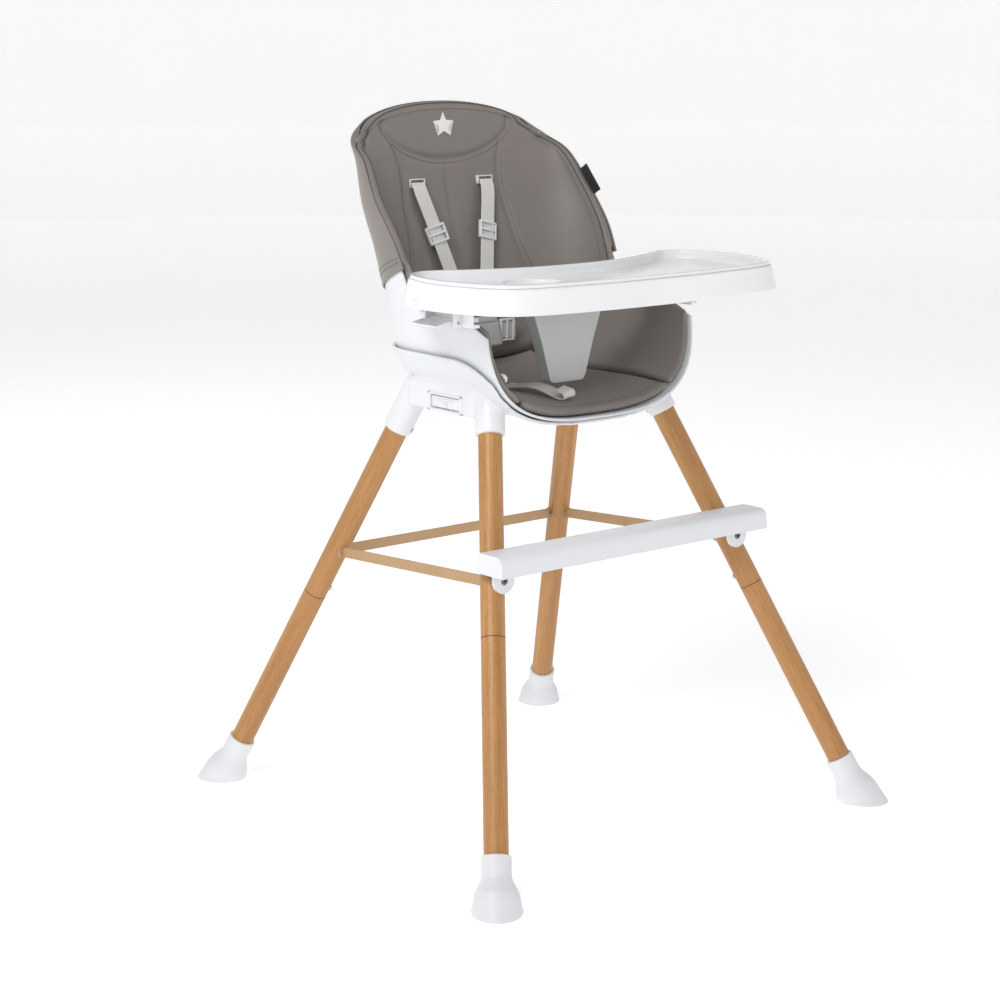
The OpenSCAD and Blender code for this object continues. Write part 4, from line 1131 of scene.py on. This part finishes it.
# ---- Tray ----------------------------------------------------------------
# The tray is a drafted skirt with a deck, and a lift-off insert with a deep
# well and a cup ring. Both are glossy white ABS.
OUTLINE = [(0, -271), (55, -270), (110, -267), (185, -258), (230, -243), (255, -216), (270, -178),
           (277, -130), (273, -92), (262, -58), (243, -32), (218, -20), (190, -25), (154, -44),
           (105, -63), (52, -75), (0, -78)]
half_line = seam_line(OUTLINE, 145)
outline = np.concatenate([half_line, half_line[-2:0:-1] * (-1, 1)])
TRAY_Z, TRAY_TOP, DECK_Z = 724.0, 762.0, 745.0
CUP = (-122.0, -150.0)


def tray_ring(inset, z):
    """The tray's outline moved inwards, at a height, in mm."""
    run = np.roll(outline, -1, 0) - np.roll(outline, 1, 0)
    run = unit(run)
    p = outline + np.stack([-run[:, 1], run[:, 0]], 1) * inset
    return np.concatenate([p, np.full((len(p), 1), z)], 1) / 1000


def rings_mesh(name, rings):
    rings = np.asarray(rings)
    rows, cols = rings.shape[:2]
    faces = []
    for i in range(rows):
        for j in range(cols):
            k, n = (j + 1) % cols, (i + 1) % rows
            faces.append((i * cols + j, i * cols + k, n * cols + k, n * cols + j))
    mesh = bpy.data.meshes.new(name)
    mesh.from_pydata(rings.reshape(-1, 3).tolist(), [], faces)
    return mesh


def arc_profile(centre, radius, a0, a1, steps=5):
    """Points (inset, z) of a rounded corner."""
    return [(centre[0] + radius * math.cos(math.radians(a)),
             centre[1] + radius * math.sin(math.radians(a)))
            for a in np.linspace(a0, a1, steps)]


gloss_white = moulded("white_gloss_abs", "#EFF0F2", 0.2, 500.0, 0.00004, 0.25)
# skirt profile: outside going up, over the top and down inside
profile = [(3.0, TRAY_Z + 0.4), (2.4, TRAY_Z), (1.2, TRAY_Z), (0.6, TRAY_Z + 0.6), (1.0, TRAY_Z + 2)]
profile += [(1.0 + 6.0 * t, TRAY_Z + 2 + 26.5 * t) for t in (0.33, 0.66)]
profile += [(7.0, TRAY_TOP - 9), (7.4, TRAY_TOP - 7.4), (8.1, TRAY_TOP - 6.0), (9.2, TRAY_TOP - 5.2),
            (10.4, TRAY_TOP - 5.0), (14, TRAY_TOP - 5.0), (12.0, TRAY_TOP - 9), (10.2, TRAY_TOP - 12),
            (6.0, TRAY_Z + 14)]
bm = bmesh.new()
bm.from_mesh(rings_mesh("skirt", [tray_ring(d, z) for d, z in profile]))
deck = bmesh.new()
low = [deck.verts.new(p) for p in tray_ring(8.0, DECK_Z - 3)]
high = [deck.verts.new(p) for p in tray_ring(8.0, DECK_Z)]
deck.faces.new(low[::-1])
deck.faces.new(high)
for j in range(len(low)):
    k = (j + 1) % len(low)
    deck.faces.new((low[j], low[k], high[k], high[j]))
extra = to_mesh(deck, "deck")
cup_tool = bmesh.new()
cylinder_between(cup_tool, (CUP[0] / 1000, CUP[1] / 1000, 0.725), (CUP[0] / 1000, CUP[1] / 1000, 0.755),
                 0.043, 96)
tool = to_mesh(cup_tool, "cup_hole")
extra = cut(extra, tool)
bm.from_mesh(extra)
for m in (-1, 1):
    # channel, flange and ribs that hang below the deck
    for x0, x1, y0, y1, z0, z1 in (
            (198, 201, -122, -30, 694, 742.5), (188.5, 198.5, -122, -30, 694, 698.5),
            (201, 214, -101, -97, 694, 742.5), (201, 214, -41, -37, 694, 742.5),
            (201, 255, -122, -119.6, 722, 742.5), (201, 252, -60, -57.6, 722, 742.5)):
        side_block(bm, m, (x0, y0, z0), (x1, y1, z1), 0.8, 2)
block(bm, (-69, -119, 732), (69, -115.2, 742.4), 0.8, 2)
block(bm, (-69, -93.4, 732), (69, -91, 742.4), 0.8, 2)
for m in (-1, 1):
    side_block(bm, m, (65, -119, 732), (69, -91, 742.4), 0.8, 2)
    # finger notch in the skirt, above the lever
    side_block(bm, m, (274.2, -112, 729), (270, -88, 734), 1.4)
mesh = to_mesh(bm, "tray_body")
place_piece("tray_body", tidy_normals(mesh), gloss_white, "tray", ["tray_base"],
            smooth=40)

# The insert: a rolled lip, a well with a round inner corner, and a cup ring
LIP = 11.0
profile = arc_profile((LIP + 2, TRAY_TOP - 3), 3.0, 180, 90) + arc_profile(
    (LIP + 5.5, TRAY_TOP - 2.5), 2.5, 90, 0) + [(LIP + 8.4, TRAY_TOP - 8)]
profile += arc_profile((LIP + 14.4, DECK_Z + 9.0), 6.0, 180, 270, 7)
inner = [tray_ring(d, z) for d, z in profile]
under = [tray_ring(d, z) for d, z in ((LIP + 12.6, DECK_Z + 0.4), (LIP + 5.2, DECK_Z + 3),
                                      (LIP + 4.4, TRAY_TOP - 5.2), (LIP - 1.0, TRAY_TOP - 4.6))]
bm = bmesh.new()
grid = []
for ring in under + inner:
    grid.append([bm.verts.new(p) for p in ring])
for a, b in zip(grid[:-1], grid[1:]):
    for j in range(len(a)):
        k = (j + 1) % len(a)
        bm.faces.new((a[j], a[k], b[k], b[j]))


def lathe_ring(bm, profile, centre, steps=96):
    """Turns a profile of (radius, z) in mm about an upright axis."""
    rows = []
    for r, z in profile:
        rows.append([bm.verts.new(((centre[0] + r * math.cos(2 * math.pi * k / steps)) / 1000,
                                   (centre[1] + r * math.sin(2 * math.pi * k / steps)) / 1000,
                                   z / 1000)) for k in range(steps)])
    for a, b in zip(rows[:-1], rows[1:]):
        for j in range(steps):
            k = (j + 1) % steps
            bm.faces.new((a[j], a[k], b[k], b[j]))
    return rows


floor_z = DECK_Z + 3.0
cup_top = lathe_ring(bm, [(43.5, floor_z), (42.6, floor_z + 1.6), (41.4, floor_z + 2.6),
                          (40.0, floor_z + 3.0), (38.8, floor_z + 2.4), (38.0, floor_z + 1.0),
                          (37.4, floor_z - 5.5), (36.4, floor_z - 6.6), (34.5, floor_z - 7.0),
                          (12, floor_z - 7.2)], CUP)
bm.faces.new(cup_top[-1])
cup_low = lathe_ring(bm, [(41.8, DECK_Z + 0.4), (41.2, DECK_Z - 5.0), (39.5, DECK_Z - 6.2),
                          (12, DECK_Z - 6.4)], CUP)
bm.faces.new(cup_low[-1])


def border(rows, pick):
    ring = rows[pick]
    return [bm.edges.get((ring[j], ring[(j + 1) % len(ring)])) for j in range(len(ring))]


bmesh.ops.triangle_fill(bm, use_beauty=True, edges=border(grid, -1) + border(cup_top, 0))
bmesh.ops.triangle_fill(bm, use_beauty=True, edges=border(grid, 0) + border(cup_low, 0))
mesh = to_mesh(bm, "tray_dish")
place_piece("tray_dish", tidy_normals(mesh), gloss_white, "tray_insert",
            ["tray_insert"], smooth=35)


# ---- Crotch post ---------------------------------------------------------
# A light grey moulded post, hollow behind, that hangs from a socket under
# the tray and keeps the child from sliding out.
post_side = [(61, 698), (46, 656), (32, 608), (29, 603), (24, 601)]
post_line = [(64, 721)] + post_side + [(-x, z) for x, z in post_side[::-1]] + [(-64, 721)]
bm = bmesh.new()
prism(bm, post_line, -79, -59)
post = to_mesh(bm, "post")
bm = bmesh.new()
block(bm, (-64, -114, 711), (64, -59, 721))
block(bm, (-64, -114, 720), (64, -94, 741.6))
neck = to_mesh(bm, "neck")
post = cut(post, neck, "UNION")
bm = bmesh.new()
prism(bm, [(58, 706), (42, 657), (25, 606), (-25, 606), (-42, 657), (-58, 706)], -76, -50)
hollow = to_mesh(bm, "hollow")
post = cut(post, hollow)
def soften(piece, width, segments, angle):
    """Rounds a piece's edges that are sharper than an angle."""
    step = piece.modifiers.new("round", "BEVEL")
    step.width = width
    step.segments = segments
    step.limit_method = "ANGLE"
    step.angle_limit = math.radians(angle)


post_grey = moulded("light_grey_polypropylene", "#BDBFBE", 0.4)
piece = place_piece("crotch_guard", post, post_grey, "tray", ["crotch_post"],
                    smooth=50)
soften(piece, 0.0018, 3, 40)

# Release levers under the tray's sides turn on steel pins
for m, label in ((-1, "left"), (1, "right")):
    bm = bmesh.new()
    outline_lever = [(207, 696), (237, 694), (240, 696), (240, 698), (222, 701.4), (207, 703)]
    prism(bm, [(m * x, z) for x, z in outline_lever][::m], -96, -42)
    mesh = to_mesh(bm, "tray_catch_" + label)
    bm = bmesh.new()
    cylinder_between(bm, (m * 0.207, -0.0960, 0.700), (m * 0.207, -0.0420, 0.700), 0.004)
    barrel = to_mesh(bm, "barrel")
    mesh = cut(mesh, barrel, "UNION")
    piece = place_piece("tray_catch_" + label, mesh, gloss_white, "tray_lever_" + label,
                        ["tray_lever_" + label], smooth=40)
    soften(piece, 0.0008, 2, 40)

# ---- Footrest ------------------------------------------------------------
# A hollow white bar with rounded edges and ribs below, screwed to the front
# legs through two round-ended brackets.
def bar_profile(grow):
    return [(-228 + grow, 389), (-227 + grow, 404), (-225.5 + grow, 410), (-222.5 + grow, 414 - grow),
            (-218, 416 - grow), (-182, 416 - grow), (-178.4 - grow, 414.6 - grow),
            (-176 - grow, 411 - grow), (-174.6 - grow, 404), (-174 - grow, 389)]


def long_bar(name, profile, x0, x1):
    mesh = bpy.data.meshes.new(name)
    verts = [(x0 / 1000, y / 1000, z / 1000) for y, z in profile]
    verts += [(x1 / 1000, y / 1000, z / 1000) for y, z in profile]
    n = len(profile)
    faces = [tuple(range(n - 1, -1, -1)), tuple(range(n, 2 * n))]
    faces += [(j, (j + 1) % n, n + (j + 1) % n, n + j) for j in range(n)]
    mesh.from_pydata(verts, [], faces)
    return tidy_normals(mesh)


bar = long_bar("footrest_bar", bar_profile(0), -239, 239)
inside = bar_profile(3)
inside[0], inside[-1] = (-225, 380), (-177, 380)
bar = cut(bar, long_bar("core", inside, -236, 236))
bm = bmesh.new()
for corner in ("front_left", "front_right"):
    foot_point, line = leg_lines[corner]
    cylinder_between(bm, foot_point + line * 0.40, foot_point + line * 0.52, 0.0165, 64)
legs_tool = to_mesh(bm, "leg_room")
bar = cut(bar, legs_tool)
bm = bmesh.new()
bm.from_mesh(bar)
for x in range(-168, 169, 56):
    block(bm, (x - 1, -224.5, 391), (x + 1, -177.5, 412.6), 0.3, 1)
bar = to_mesh(bm, "footrest_bar")
step_white = moulded("white_moulded_step", "#E4E6E9", 0.42)
piece = place_piece("footrest_bar", bar, step_white, "stand", ["footrest"], smooth=35)
soften(piece, 0.0022, 4, 50)
for node in ("footrest_bracket_left", "footrest_bracket_right"):
    paint_node(node, step_white)
